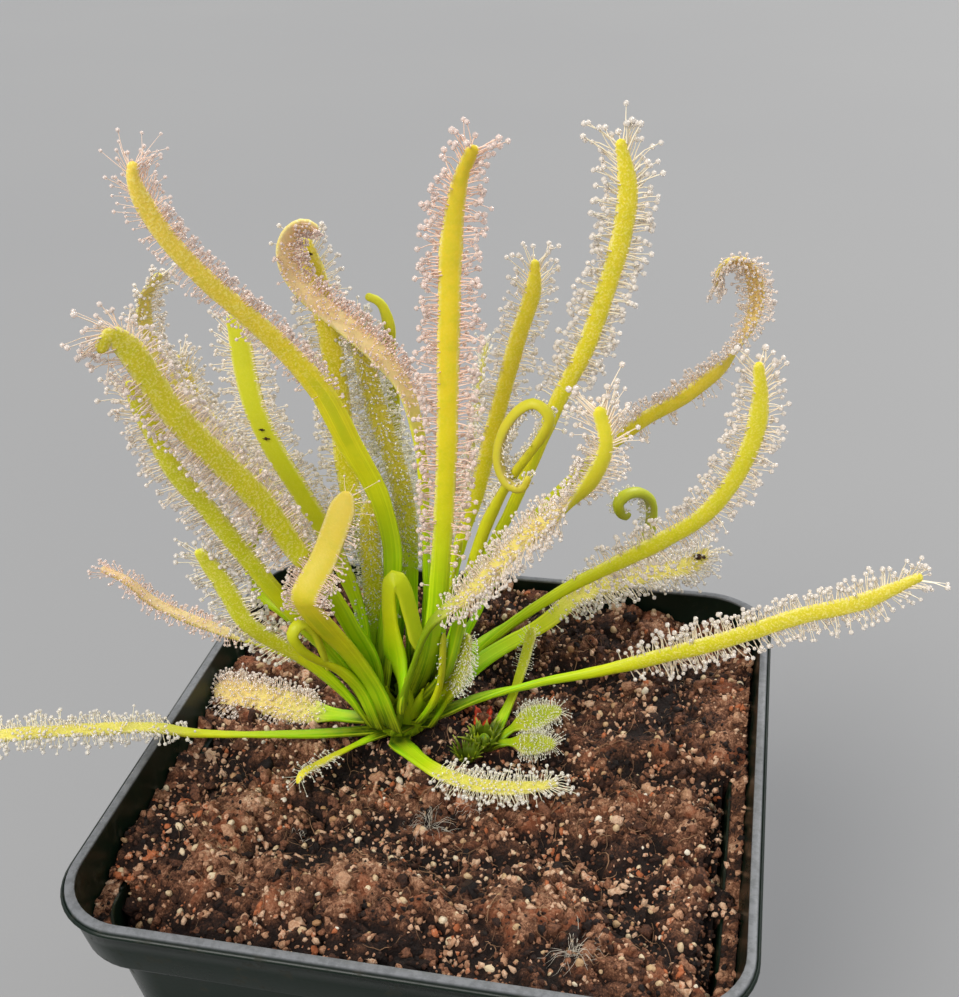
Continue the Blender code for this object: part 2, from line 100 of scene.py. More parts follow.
# %% A tree that is written as expressions
class Tree:
    """A shader or geometry node tree that is written as expressions."""

    def __init__(self, node_tree):
        self.nodes = node_tree.nodes
        self.links = node_tree.links

    def feed(self, socket, value):
        """Link one wire, or several, to a socket, or set a plain value on it."""
        if isinstance(value, Wire):
            self.links.new(value.socket, socket)
        elif isinstance(value, list):
            for wire in value:
                self.feed(socket, wire)
        else:
            socket.default_value = value

    def node(self, kind, values=None, out=0, **settings):
        """Add a node: settings are its properties, values are what its sockets get."""
        node = self.nodes.new(kind)
        for name, value in settings.items():
            if name == "stops":
                set_stops(node.color_ramp, value)
            else:
                setattr(node, name, value)
        for name, value in (values or {}).items():
            self.feed(node.inputs[name], value)
        return Wire(self, node.outputs[out])

    def math(self, operation, a, b):
        return self.node("ShaderNodeMath", {0: a, 1: b}, operation=operation)

    def step(self, value, low, high):
        """A smooth step from 0 at low to 1 at high."""
        return self.node("ShaderNodeMapRange", {0: value, 1: low, 2: high},
                         interpolation_type="SMOOTHSTEP")

    def mix(self, share, a, b):
        """Blend two colours."""
        a, b = [(*c, 1) if isinstance(c, tuple) else c for c in (a, b)]
        return self.node("ShaderNodeMix", {0: share, 6: a, 7: b}, out=2, data_type="RGBA")

    def vector(self, operation, a, b=(0, 0, 0), scale=1.0):
        return self.node("ShaderNodeVectorMath", {0: a, 1: b, 3: scale}, operation=operation)

    def noise(self, place, scale, detail=2.0, roughness=0.5, distortion=0.0):
        return self.node("ShaderNodeTexNoise", {
            "Vector": place, "Scale": scale, "Detail": detail, "Roughness": roughness,
            "Distortion": distortion})

    def attribute(self, name):
        """A value stored on the mesh, such as how far along its leaf a point is."""
        return self.node("ShaderNodeAttribute", out="Fac", attribute_name=name)

    def object_place(self):
        return self.node("ShaderNodeTexCoord", out="Object")

    def part_of(self, vector, axis):
        """One of a vector's three numbers: 0 is x, 1 is y and 2 is z."""
        return self.node("ShaderNodeSeparateXYZ", {0: vector}, out=axis)

    def xyz(self, x, y, z):
        return self.node("ShaderNodeCombineXYZ", {0: x, 1: y, 2: z})


def set_stops(ramp, stops):
    """Give a colour ramp its (place, colour) stops."""
    while len(ramp.elements) < len(stops):
        ramp.elements.new(0.5)
    for element, (place, color) in zip(ramp.elements, stops):
        element.position = place
        element.color = (*color, 1)


print("node helpers ready")

# %% [markdown]
# ## Materials
# A Principled shader does every surface here. What is the same all over a
# surface is set on the shader's own sockets, and what varies is linked to the
# few sockets that a game engine could bake: colour, roughness and the normal.

# %% Start and finish a material
def new_material(name, **constants):
    """A Principled material's tree. The constants go on its shader's own sockets."""
    material = bpy.data.materials.new(name)
    material.use_nodes = True
    tree = Tree(material.node_tree)
    tree.material = material
    tree.shader = material.node_tree.nodes["Principled BSDF"]
    for label, value in constants.items():
        tree.shader.inputs[label.replace("_", " ")].default_value = value
    return tree


def finish_material(tree, color, roughness=None, height=None, strength=1.0, distance=0.001):
    """Link what varies over the surface: its colour, its roughness and a bump."""
    tree.feed(tree.shader.inputs["Base Color"], color)
    if roughness is not None:
        tree.feed(tree.shader.inputs["Roughness"], roughness)
    if height is not None:
        bump = tree.node("ShaderNodeBump", {"Height": height, "Strength": strength,
                                            "Distance": distance})
        tree.feed(tree.shader.inputs["Normal"], bump)
    return tree.material


print("material helpers ready")

# %% [markdown]
# ## Where every leaf runs, and how it looks
# Each leaf is drawn as a side profile that is turned to its compass
# direction. The table starts from the model's own driving values, so the fine
# leaves below keep to its paths. A few are turned, widened or moved slightly.
# On one plant the leaves also differ in looks: the oldest turn orange, the
# young ones are bare, and the hairs are long at the edges and longest at the
# tip. A row holds only what differs from the defaults. Sizes are in
# millimetres and angles in degrees.

# %% The model's driving values
POT_HEIGHT = 88 * MM
SOIL_Z = POT_HEIGHT - 9 * MM
CROWN_HEIGHT = 10 * MM
Stem = namedtuple("Stem", "place foot_radius top_radius")
CROWN = Stem(Vector((-12 * MM, 12 * MM, 0)), 5.2 * MM, 2.2 * MM)
PLANTLET = Stem(CROWN.place + Vector((14 * MM, -3 * MM, 0)), 1.6 * MM, 1.6 * MM)
LEAF_THICKNESS = 0.9 * MM
BASE_WIDTH = 1.8 * MM
SEAT_GAP = 0.45 * MM
print("soil at, in mm:", round(SOIL_Z / MM, 1), "crown height:", round(CROWN_HEIGHT / MM, 1))

# %% What a row says
# Where a leaf runs:
#   seat        compass direction and height of the leaf's base on the crown
#   turn, bend  the way the leaf heads, seen from above, and how far that swings by its tip
#   run         side profile: (out, up) points from the seat to the tip
#   stalk, blade, blade_from   widths, and where along its length the blade begins
#   roll        how far the blade is twisted about its own length
#   drift       how far the tip is carried sideways, to its left when positive
#   twist       how much further the blade turns over towards its tip
#   belly       how much wider the leaf is half-way along
# How it looks:
#   yellow   0 is green, 1 is full yellow
#   blush    orange at the tip and edges
#   pink     how pink the hairs are
#   reach    length of the hairs at the blade's edge
#   tip      how many times longer those at the tip are
#   drop     radius of their drops
#   dense    how closely the hairs stand, 0 for a bare leaf
#   speckle  how granular the underside is
#   taper    the share of the leaf over which its tip narrows
#   nap      how long the hairs in the middle are, beside those at the edges
#   dark     how dark and green the stalk is
#   plump    how much thicker the leaf is, as a young one is still rolled up
#   bald     how few hairs stand near the tip
#   rim      how bare the left edge is, or the right one when negative
#   tone     how bright the tissue is
#   bead     how many times bigger the drops at the tip are
Leaf = namedtuple("Leaf", """name seat turn run stalk blade blade_from roll bend drift twist belly
    yellow blush pink reach tip drop dense speckle taper nap dark plump bald rim tone bead""",
                  defaults=(0, 0, 0, 0, 0, 0.55, 0.1, 0.3, 2.5, 1.5, 0.42, 1, 0.4, 0.08, 0.45,
                            0, 1, 0, 0, 1, 1))
print("values in a row:", len(Leaf._fields))

# %% The leaves
LEAVES = [
    Leaf("leaf_tallest", (328, 8), 325, [(4.5, 11), (7.5, 27), (10, 46), (11.5, 64), (13, 77),
         (15, 84), (17.5, 88)], 2.8, 2.95, 0.35, -40,
         yellow=0.95, pink=1, reach=2.8, tip=1.25, drop=0.45, speckle=0.1, taper=0.18),
    Leaf("leaf_tall_left", (222, 8), 221, [(-2, 10), (-4, 24), (-2.5, 34), (1, 43), (5, 53),
         (11, 62), (18, 70.5), (23, 78), (25.5, 85), (25.2, 87)], 2.8, 2.4, 0.6, 75, belly=0.25,
         yellow=0.9, blush=0.5, pink=0.7, reach=1.6, tip=2.9, drop=0.28, dense=2.6, speckle=0.9,
         taper=0.06, rim=-0.7),
    Leaf("leaf_curled_left", (40, 8), 200, [(-1.4, 14), (-1.9, 28), (-1.9, 37), (-1.5, 43),
         (0, 50), (2.4, 54.2), (7, 59.5), (11.2, 63.7), (13.8, 67.3), (14.6, 70.6), (13.8, 73.2),
         (11.7, 74.5), (10, 73.6)], 1.8, 3.1, 0.55, -50,
         yellow=0.6, blush=0.7, pink=0.8, reach=2.2, tip=0.6, drop=0.3, dense=2.8, taper=0.05,
         nap=0.4, rim=1),
    Leaf("leaf_back", (85, 8), 190, [(-0.8, 8), (-1.3, 20), (-1.2, 28), (-0.2, 36), (1.2, 42),
         (2.3, 46.7), (3, 51.3), (3.6, 56), (4.2, 60)], 2.2, 3.4, 0.35, -55,
         yellow=0.6, pink=0.1, reach=2, drop=0.3, dense=1.7, speckle=0.9, nap=0.5),
    Leaf("leaf_back_left", (140, 8), 185, [(0, 10), (1.4, 21), (3.3, 35), (3.5, 48), (4.2, 58.5),
         (5.5, 67), (6.2, 71.5)], 2.4, 3.2, 0.35, 98, yellow=0.7, reach=2.6, speckle=1),
    Leaf("leaf_hooked_back", (112, 6), 190, [(-1.8, 16.5), (-2, 32), (-2.2, 47.7), (-2.1, 56),
         (-2.1, 60), (-1, 62.8), (0.9, 63.7)], 1.5, 2, 0.5, 60, drift=-3,
         yellow=0.35, pink=0, dense=0, speckle=0, dark=0.3, plump=1.3, tone=0.85),
    Leaf("leaf_inner", (172, 9), 190, [(-0.4, 6), (-0.5, 12), (-0.3, 21), (-0.6, 28), (-1.3, 32)],
         1.8, 3.2, 0.3, -80, yellow=0.6, pink=0, reach=1.8, drop=0.26, dense=1.6, speckle=1, nap=0.5),
    Leaf("leaf_looped", (343, 7), 350, [(4.3, 6.4), (7.6, 18), (10.2, 28), (12.8, 35.5),
         (17, 43.7), (21.5, 50.8), (22.4, 53.4), (20.8, 55), (18.6, 53.8), (16.8, 51.2),
         (15.8, 48.2), (15.9, 45.3), (17.2, 43.2), (19, 43), (20, 45)], 1.8, 1.7, 0.5, drift=-5,
         blush=0.2, reach=1.1, tip=1, drop=0.25, dense=1.4, speckle=0, nap=0.7, plump=1.7, rim=-1,
         tone=0.82),
    Leaf("leaf_tall_right", (5, 6), 8, [(2.2, 6), (5.6, 16), (8.7, 23.3), (13, 32), (17, 41.8),
         (20.6, 51), (24.5, 59.4), (26.7, 66.5), (28.6, 73.3), (29.4, 79.2), (29.3, 82),
         (28.3, 87)], 2, 2.8, 0.6, -80,
         yellow=0.75, pink=0.35, reach=2.7, tip=1.8, drop=0.48, speckle=0.8),
    Leaf("leaf_mid_right", (33, 5), 15, [(2.6, 13.6), (6.1, 28), (8.3, 34.6), (11.7, 47.5),
         (15, 59.6), (17.2, 66.7), (17.5, 71)], 1.9, 2.6, 0.45, -80,
         yellow=0.75, pink=0.35, tip=1.7, speckle=0.5),
    Leaf("leaf_side_left", (183, 5), 185, [(0, 8), (0.8, 16), (4.5, 28.7), (8.2, 37),
         (11.3, 43.6), (13.5, 50), (14.2, 56), (14.6, 61.3), (15.4, 64.3)], 2.6, 3.7, 0.4, 80,
         yellow=0.3, pink=0.35, reach=2.7, tip=1.2, drop=0.38, speckle=0.1),
    Leaf("leaf_broad_left", (235, 5), 229, [(0.5, 10), (3.4, 17.5), (6.9, 26), (11.4, 34.6),
         (15.4, 43.3), (20.3, 51), (24.4, 57.4), (27, 62.4), (28.8, 67), (30.3, 70), (32, 71.7),
         (33.7, 70)], 2.4, 3.5, 0.4, 85,
         yellow=0.65, pink=0.55, reach=2.6, tip=1.8, drop=0.36, speckle=1, tone=0.95, bead=1.2),
    Leaf("leaf_rear_left", (199, 4), 186, [(4, 8), (8.7, 14), (12.3, 17.7), (15.6, 20.8),
         (16.6, 25), (16, 29), (14.2, 33), (15.2, 39.5), (19.5, 46), (23, 52), (25, 57.4),
         (26.6, 64), (26, 68.4), (23.4, 71.8)], 1.8, 2.6, 0.5, -30,
         yellow=0.5, pink=0.35, reach=2.2, tip=1.3, drop=0.34, dense=1.6, nap=0.5),
    Leaf("leaf_rear_fuzzy", (154, 7), 172, [(4, 8.5), (8.8, 17), (13, 27.2), (17.4, 33.5),
         (22.6, 39.4), (27, 45.5), (28.7, 52.6)], 2, 2.8, 0.45, -20,
         yellow=0.5, pink=0.35, reach=2.4, drop=0.34, dense=1.7, nap=0.5),
    Leaf("bud_hairpin_front", (290, 8), 13, [(-0.6, 8), (-1, 17), (-0.7, 20.8), (0.2, 22.2),
         (1.2, 20.6), (2.1, 16), (3.2, 9)], 3.7, 2.7, 0.3, 50,
         yellow=0.2, pink=0, dense=0, speckle=0, plump=1.4),
    Leaf("leaf_behind_tallest", (60, 6), 50, [(4.5, 8), (8, 20), (10.2, 29.4), (12.2, 39),
         (14, 48.4), (15.4, 54)], 1.8, 2.6, 0.4, -30,
         yellow=0.35, pink=0.2, reach=1.8, drop=0.28, dense=1.4, speckle=1, taper=0.15, nap=0.5,
         tone=0.85),
    Leaf("leaf_kinked_front", (255, 4), 235, [(2, 8), (5, 15), (9, 22), (12, 27.5), (12.3, 29),
         (8.2, 33.8), (4, 40.8), (3.1, 42.4)], 4.6, 4, 0.6, 30,
         yellow=0.8, blush=0.4, pink=0.7, reach=2, tip=2, drop=0.24, dense=2.4, speckle=0.1,
         taper=0.06, nap=0.6, bald=0.85, tone=0.78),
    Leaf("leaf_outer_left", (219, 4), 222, [(2.5, 7), (10.4, 21.5), (16.9, 34.3), (21.5, 43.9),
         (24.9, 50.3), (26.7, 56), (28.4, 62), (29.1, 64.4)], 2.8, 2.8, 0.5, 70,
         yellow=0.4, pink=0.4, reach=2.6, drop=0.38, dense=1.3, speckle=1, nap=0.4, tone=0.9),
    Leaf("leaf_low_left", (213, 2), 217, [(4, 8), (9.8, 16), (14.7, 21.3), (17.3, 24.8),
         (18.9, 29.6), (20.5, 34.3), (22.5, 38.5)], 2, 3.1, 0.45, 65,
         yellow=0.35, tip=1.3, drop=0.4, speckle=0.8, taper=0.1),
    Leaf("leaf_hooked_right", (45, 3), 28, [(4, 7.2), (8.8, 15.7), (12.2, 22), (16, 28), (20, 32),
         (29, 39.5), (35.5, 43.8), (42, 46.6), (48.4, 51), (51, 54.6), (52.4, 58), (52.8, 60.7),
         (51.7, 65), (49.3, 67.2), (46.9, 66.6), (46.1, 63.6)], 2, 3, 0.5, -80, twist=110,
         yellow=0.9, blush=0.4, pink=0.5, reach=2.3, tip=1.3, drop=0.3, dense=1.9, nap=0.6,
         rim=0.7),
    Leaf("leaf_s_right", (20, 4), 12, [(6.7, 9), (14.5, 15.7), (22.2, 21), (29.7, 25.2),
         (35.6, 28.6), (41.4, 32.7), (45.4, 38.4), (47.8, 45), (48.4, 51), (47.7, 57)], 1.8, 3,
         0.45, -88,
         yellow=0.6, pink=0.4, reach=3.1, tip=1.4, drop=0.44, speckle=0.5, taper=0.12, bead=1.15),
    Leaf("leaf_front_right", (275, 3), 342, [(3, 11), (7.7, 22.5), (14.6, 30), (19.5, 36.3),
         (24.3, 42.3), (30.2, 48.3), (33.6, 53.5), (35, 58), (33.9, 62.8)], 1.5, 3.4, 0.4, 40,
         twist=-95,
         yellow=0.6, pink=0.45, reach=2.7, tip=1.8, drop=0.33, dense=1.7, speckle=0.1, taper=0.3,
         nap=0.5, dark=0.8, bead=1.4),
    Leaf("leaf_low_right", (36, 1.5), 32, [(4, 3.5), (8.6, 6.9), (19, 11), (26, 15), (37, 16),
         (46, 16), (48.7, 18)], 2.8, 3.4, 0.5, 25,
         yellow=0.45, reach=2.4, drop=0.36, dense=1.6, speckle=1, nap=0.55),
    Leaf("leaf_thin_left", (194, 2), 195, [(5, 6.5), (9.7, 11.3), (15.5, 15), (21.3, 17.8),
         (27, 21), (31, 24), (34, 27.7), (37.4, 30)], 1.3, 2.2, 0.5, -8,
         yellow=0.6, blush=1, pink=0.8, reach=1.7, tip=1.6, drop=0.26, dense=1.5, speckle=0.7,
         taper=0.2, tone=0.85),
    Leaf("leaf_long_left", (222, 1), 218, [(5, 1.5), (11.3, 3.5), (26.2, 9.1), (33, 12.5),
         (40, 14.6), (53, 17.7), (63, 18)], 1.4, 2.8, 0.5, bend=-6,
         yellow=0.5, pink=0.25, reach=2.6, tip=1.2, drop=0.36, dense=1.3, speckle=1, nap=0.3),
    Leaf("leaf_long_right", (5, 2), 4, [(7.5, 4.2), (15.4, 7.3), (26.2, 10.6), (35.2, 14),
         (44, 17.4), (55, 22.6), (63.3, 25.6), (71, 30.5)], 1.8, 2.9, 0.45, -92,
         yellow=0.65, blush=0.2, pink=0.35, reach=2.9, tip=1.1, speckle=1, taper=0.12),
    Leaf("leaf_on_soil_left", (190, 1), 197, [(2.6, 0.5), (10.6, 2), (17, 3.5), (25, 4.2)], 1.8,
         5.4, 0.32, -22, bend=-25,
         yellow=0.75, blush=0.5, pink=0.5, reach=2, tip=1.3, drop=0.28, dense=2.1, speckle=1,
         nap=0.5, tone=0.85),
    Leaf("leaf_tiny_left", (240, 1), 232, [(6.9, 1), (11.9, 2), (15.8, 2.8), (17, 2)], 0.9, 1.3,
         0.5, bend=20, yellow=0.6, pink=0, reach=1.6, drop=0.2, dense=1.2),
    Leaf("leaf_on_soil_front", (280, 1), 300, [(5, 1.5), (12, 1.5), (19, 1.5), (25, 1.5),
         (30, 1.5)], 2.3, 3, 0.4, bend=90,
         yellow=0.45, pink=0.2, reach=2.6, tip=1.3, drop=0.34, dense=1.5, speckle=1, taper=0.25,
         nap=0.25, tone=0.9),
    Leaf("leaf_coiled_back", (65, 3), 48, [(8, 3), (16, 5), (29, 7.7), (38, 7.8), (45, 8.4),
         (48.6, 11.3), (49.4, 15), (48.8, 18), (46.4, 20.4), (43.4, 21.2), (41.5, 20.4),
         (42, 18.4), (44.2, 16.8)], 1.4, 2.2, 0.5,
         yellow=0.2, pink=0.2, reach=1.5, tip=1, drop=0.28, dense=0.9, speckle=0, plump=2.2,
         rim=-1, tone=0.8),
    Leaf("bud_hairpin_left", (238, 3), 229, [(2.5, 8), (5.5, 13), (9.6, 17), (12.2, 20.6),
         (12.7, 22.8), (11.3, 24), (9.6, 22.3), (8.5, 18.5), (7.6, 14)], 2.1, 1.9, 0.4, 30,
         yellow=0.3, pink=0, dense=0, speckle=0, plump=1.3, tone=0.85),
    Leaf("bud_straight", (0, 8), 5, [(2.5, 8), (5, 18), (6.9, 27)], 1.6, 1.6, 0.5,
         yellow=0.3, pink=0, reach=0.7, tip=1, drop=0.16, dense=0.4, speckle=0, tone=0.8),
    Leaf("bud_short", (320, 4), 341, [(2.4, 4), (4.2, 9), (5.2, 18)], 1.5, 1.3, 0.5,
         yellow=0.3, pink=0, reach=0.7, tip=1, drop=0.16, dense=0.4, speckle=0, tone=0.8),
    Leaf("leaf_small_fuzzy", (345, 2), 350, [(2.5, 6), (5, 12.5), (6.6, 18.5)], 1.7, 4.4, 0.45, 70,
         yellow=0.2, pink=0, reach=1.3, tip=1.2, drop=0.15, dense=2.6, taper=0.3, nap=0.7,
         tone=0.75),
]

PLANTLET_LEAVES = [
    Leaf("plantlet_leaf_tall", (60, 1), 68, [(4, 2.5), (8, 7), (11.5, 13)], 1.4, 1.9, 0.6,
         yellow=0.3, pink=0, reach=0.9, drop=0.12, dense=1.2, tone=0.85),
    Leaf("plantlet_leaf_right", (20, 1), 24, [(3, 2), (6, 3), (10, 3.5)], 1.2, 4.2, 0.4, 20,
         yellow=0, pink=0, reach=1.4, drop=0.13, dense=3, taper=0.4, nap=0.8, tone=0.6),
    Leaf("plantlet_leaf_front", (350, 1), 356, [(3, 0.8), (6, 1), (9, 1.5)], 1.2, 4, 0.4, 20,
         yellow=0.1, pink=0, reach=1.4, drop=0.13, dense=3, taper=0.4, nap=0.8, tone=0.6),
]
print("leaves:", len(LEAVES), "and on the plantlet:", len(PLANTLET_LEAVES))
print("bare leaves:", sum(leaf.dense == 0 for leaf in LEAVES))

# %% [markdown]
# ## From a profile to a path in space
# A handful of points is enough for a leaf if a smooth curve is passed through
# them. The centripetal Catmull-Rom curve is used because it never overshoots
# between close points, so tight hooks stay round. Stations at equal distances
# along it carry three directions: along, across and off the upper face.

# %% Paths
def smooth_through(points, steps=12):
    """A centripetal Catmull-Rom curve through a list of points."""
    points = [Vector(p) for p in points]
    points = [2 * points[0] - points[1]] + points + [2 * points[-1] - points[-2]]
    curve = []
    for p0, p1, p2, p3 in zip(points, points[1:], points[2:], points[3:]):
        t1 = sqrt((p1 - p0).length)
        t2 = t1 + sqrt((p2 - p1).length)
        t3 = t2 + sqrt((p3 - p2).length)
        for step in range(steps):
            t = t1 + (t2 - t1) * step / steps
            a1 = p0.lerp(p1, t / t1)
            a2 = p1.lerp(p2, (t - t1) / (t2 - t1))
            a3 = p2.lerp(p3, (t - t2) / (t3 - t2))
            b1 = a1.lerp(a2, t / t2)
            b2 = a2.lerp(a3, (t - t1) / (t3 - t1))
            curve.append(b1.lerp(b2, (t - t1) / (t2 - t1)))
    return curve + [points[-2]]


def even_points(curve, count):
    """Points at equal distances along a curve, ends included, and its length."""
    marks = [0]
    for a, b in zip(curve, curve[1:]):
        marks.append(marks[-1] + (b - a).length)
    places = []
    k = 0
    for i in range(count):
        want = marks[-1] * i / (count - 1)
        while k < len(marks) - 2 and marks[k + 1] < want:
            k += 1
        share = (want - marks[k]) / (marks[k + 1] - marks[k])
        places.append(curve[k].lerp(curve[k + 1], share))
    return places, marks[-1]


bend = smooth_through([(0, 0), (1, 2), (3, 3)])
print("a bend of", len(bend), "points is this long:", round(even_points(bend, 8)[1], 2))

# %% Stations along a leaf
def ease(x):
    """Smooth step from 0 to 1."""
    x = min(max(x, 0), 1)
    return x * x * (3 - 2 * x)


def seat_radius(leaf, stem):
    """How far from the crown's axis the middle of a leaf's base stands."""
    spin = radians(leaf.turn - leaf.seat[0])
    base = min(leaf.stalk * MM, BASE_WIDTH)
    share = leaf.seat[1] * MM / CROWN_HEIGHT
    return (stem.foot_radius + (stem.top_radius - stem.foot_radius) * share + SEAT_GAP
            + abs(cos(spin)) * LEAF_THICKNESS / 2 + abs(sin(spin)) * base / 2)


def leaf_stations(leaf, stem, spacing):
    """Stations along a leaf: middle, way along, way across, way off its upper face."""
    curve = smooth_through([(0, 0)] + leaf.run)
    count = max(12, round(even_points(curve, 8)[1] * MM / spacing))
    profile = even_points(curve, count)[0]
    reach = max(abs(out) for out, up in leaf.run)
    direction = radians(leaf.seat[0])
    radius = seat_radius(leaf, stem)
    place = stem.place + Vector((radius * cos(direction), radius * sin(direction), 0))
    middles, sides = [], []
    last_out = 0
    for i, (out, up) in enumerate(profile):
        heading = radians(leaf.turn + leaf.bend * out / reach)
        ahead = Vector((cos(heading), sin(heading), 0))
        left = Vector((-ahead.y, ahead.x, 0))
        place = place + ahead * (out - last_out) * MM
        last_out = out
        middles.append(place + left * leaf.drift * MM * i / (count - 1)
                       + Vector((0, 0, SOIL_Z + (leaf.seat[1] + up) * MM)))
        sides.append(left)
    stations = []
    for i, (middle, side) in enumerate(zip(middles, sides)):
        along = (middles[min(i + 1, count - 1)] - middles[max(i - 1, 0)]).normalized()
        face = along.cross(side).normalized()
        side = face.cross(along)
        u = i / (count - 1)
        roll = radians(leaf.roll * ease(u / leaf.blade_from) + leaf.twist * ease((u - 0.7) / 0.18))
        stations.append((middle, along, side * cos(roll) + face * sin(roll),
                         face * cos(roll) - side * sin(roll)))
    return stations


tallest = leaf_stations(LEAVES[0], CROWN, 3.6 * MM)
print("stations:", len(tallest), "tip in mm:", [round(x / MM, 1) for x in tallest[-1][0]])

# %% [markdown]
# ## The leaf itself
# A sundew leaf is a strap: a channel along its upper face, a low keel below
# and rounded edges. Extruding a curve would twist freely, so the strap is
# lofted instead: a cross-section is set across every station, and each one is
# joined to the next. The mesh also carries what the finish and the hairs need
# to know at each point, stored as attributes.

# %% Cross-section of the strap
SECTION_POINTS = 14
STATION_SPACING = 0.75 * MM
TIP_SHARES = (0.4, 0.7, 0.88, 1)
ROOT_DEPTH = 1.5 * MM
ROOT_SHARE = 0.7
HAIR_LEAN = radians(80)
PETIOLE_THICKNESS = 1.15 * MM
BLADE_THICKNESS = 0.8 * MM
FLARE = 0.5  # extra width over the first third of a leaf
CLASP = 0.085  # extra width at the base for each millimetre that a leaf is seated up the crown
CLASP_REACH = 19 * MM


def leaf_width(leaf, u, length):
    """Width at a share of a leaf's length: broad base, stalk, blade, narrowed round tip."""
    width = leaf.stalk + (leaf.blade - leaf.stalk) * ease((u - leaf.blade_from) / 0.3 + 0.5)
    width *= (1 + FLARE * (1 - ease(u / 0.35)) + leaf.belly * sin(pi * u) ** 2
              + CLASP * leaf.seat[1] * (1 - ease(u * length / CLASP_REACH)))
    width *= (1 - 0.45 * ease((u - 1 + leaf.taper) / leaf.taper)) * MM
    left = min((1 - u) * length / (width / 2), 1)
    return width * max(sqrt(1 - (1 - left) ** 2), 0.12)


def strap_section(channel, keel):
    """Points round the section: across from -1 to 1, off the face from -1 to 1."""
    points = []
    for k in range(SECTION_POINTS):
        angle = 2 * pi * k / SECTION_POINTS
        a, b = cos(angle), sin(angle)
        if b >= 0:
            b = b ** 0.7 - channel * (1 - a * a) ** 1.5
        else:
            b = -(-b) ** 0.8 * (1 + keel * (1 - abs(a)))
        points.append((a, b, sin(angle)))
    return points


def join_loops(bm, low, high):
    """Join two closed loops of vertices with quads."""
    for i in range(len(low)):
        j = (i + 1) % len(low)
        bm.faces.new((low[i], low[j], high[j], high[i]))


def loft_rings(bm, rings):
    """Skin a row of rings with equal counts of points, and close both ends."""
    rows = [[bm.verts.new(point) for point in ring] for ring in rings]
    for low, high in zip(rows, rows[1:]):
        join_loops(bm, low, high)
    bm.faces.new(list(reversed(rows[0])))
    bm.faces.new(rows[-1])


def new_object(name, mesh, *materials):
    """A named object with its materials, linked to the scene."""
    thing = bpy.data.objects.new(name, mesh)
    bpy.context.scene.collection.objects.link(thing)
    for material in materials:
        mesh.materials.append(material)
    return thing


def smooth_mesh(bm, name):
    """Turn a bmesh into a smooth-shaded mesh."""
    mesh = bpy.data.meshes.new(name)
    bm.to_mesh(mesh)
    bm.free()
    mesh.shade_smooth()
    return mesh


def finish_mesh(bm, name):
    """A smooth-shaded mesh whose faces all point outwards."""
    bmesh.ops.recalc_face_normals(bm, faces=bm.faces)
    return smooth_mesh(bm, name)


print("section points:", SECTION_POINTS)

# %% [markdown]
# Hairs grow on the upper face and the edges of the blade, not underneath.
# The edge ones are long and point sideways, the middle ones are short and
# stand up, and those at the tip fan out past it. So each vertex stores how
# closely hairs stand there, how long they are, which way they aim and how big
# their drops are.

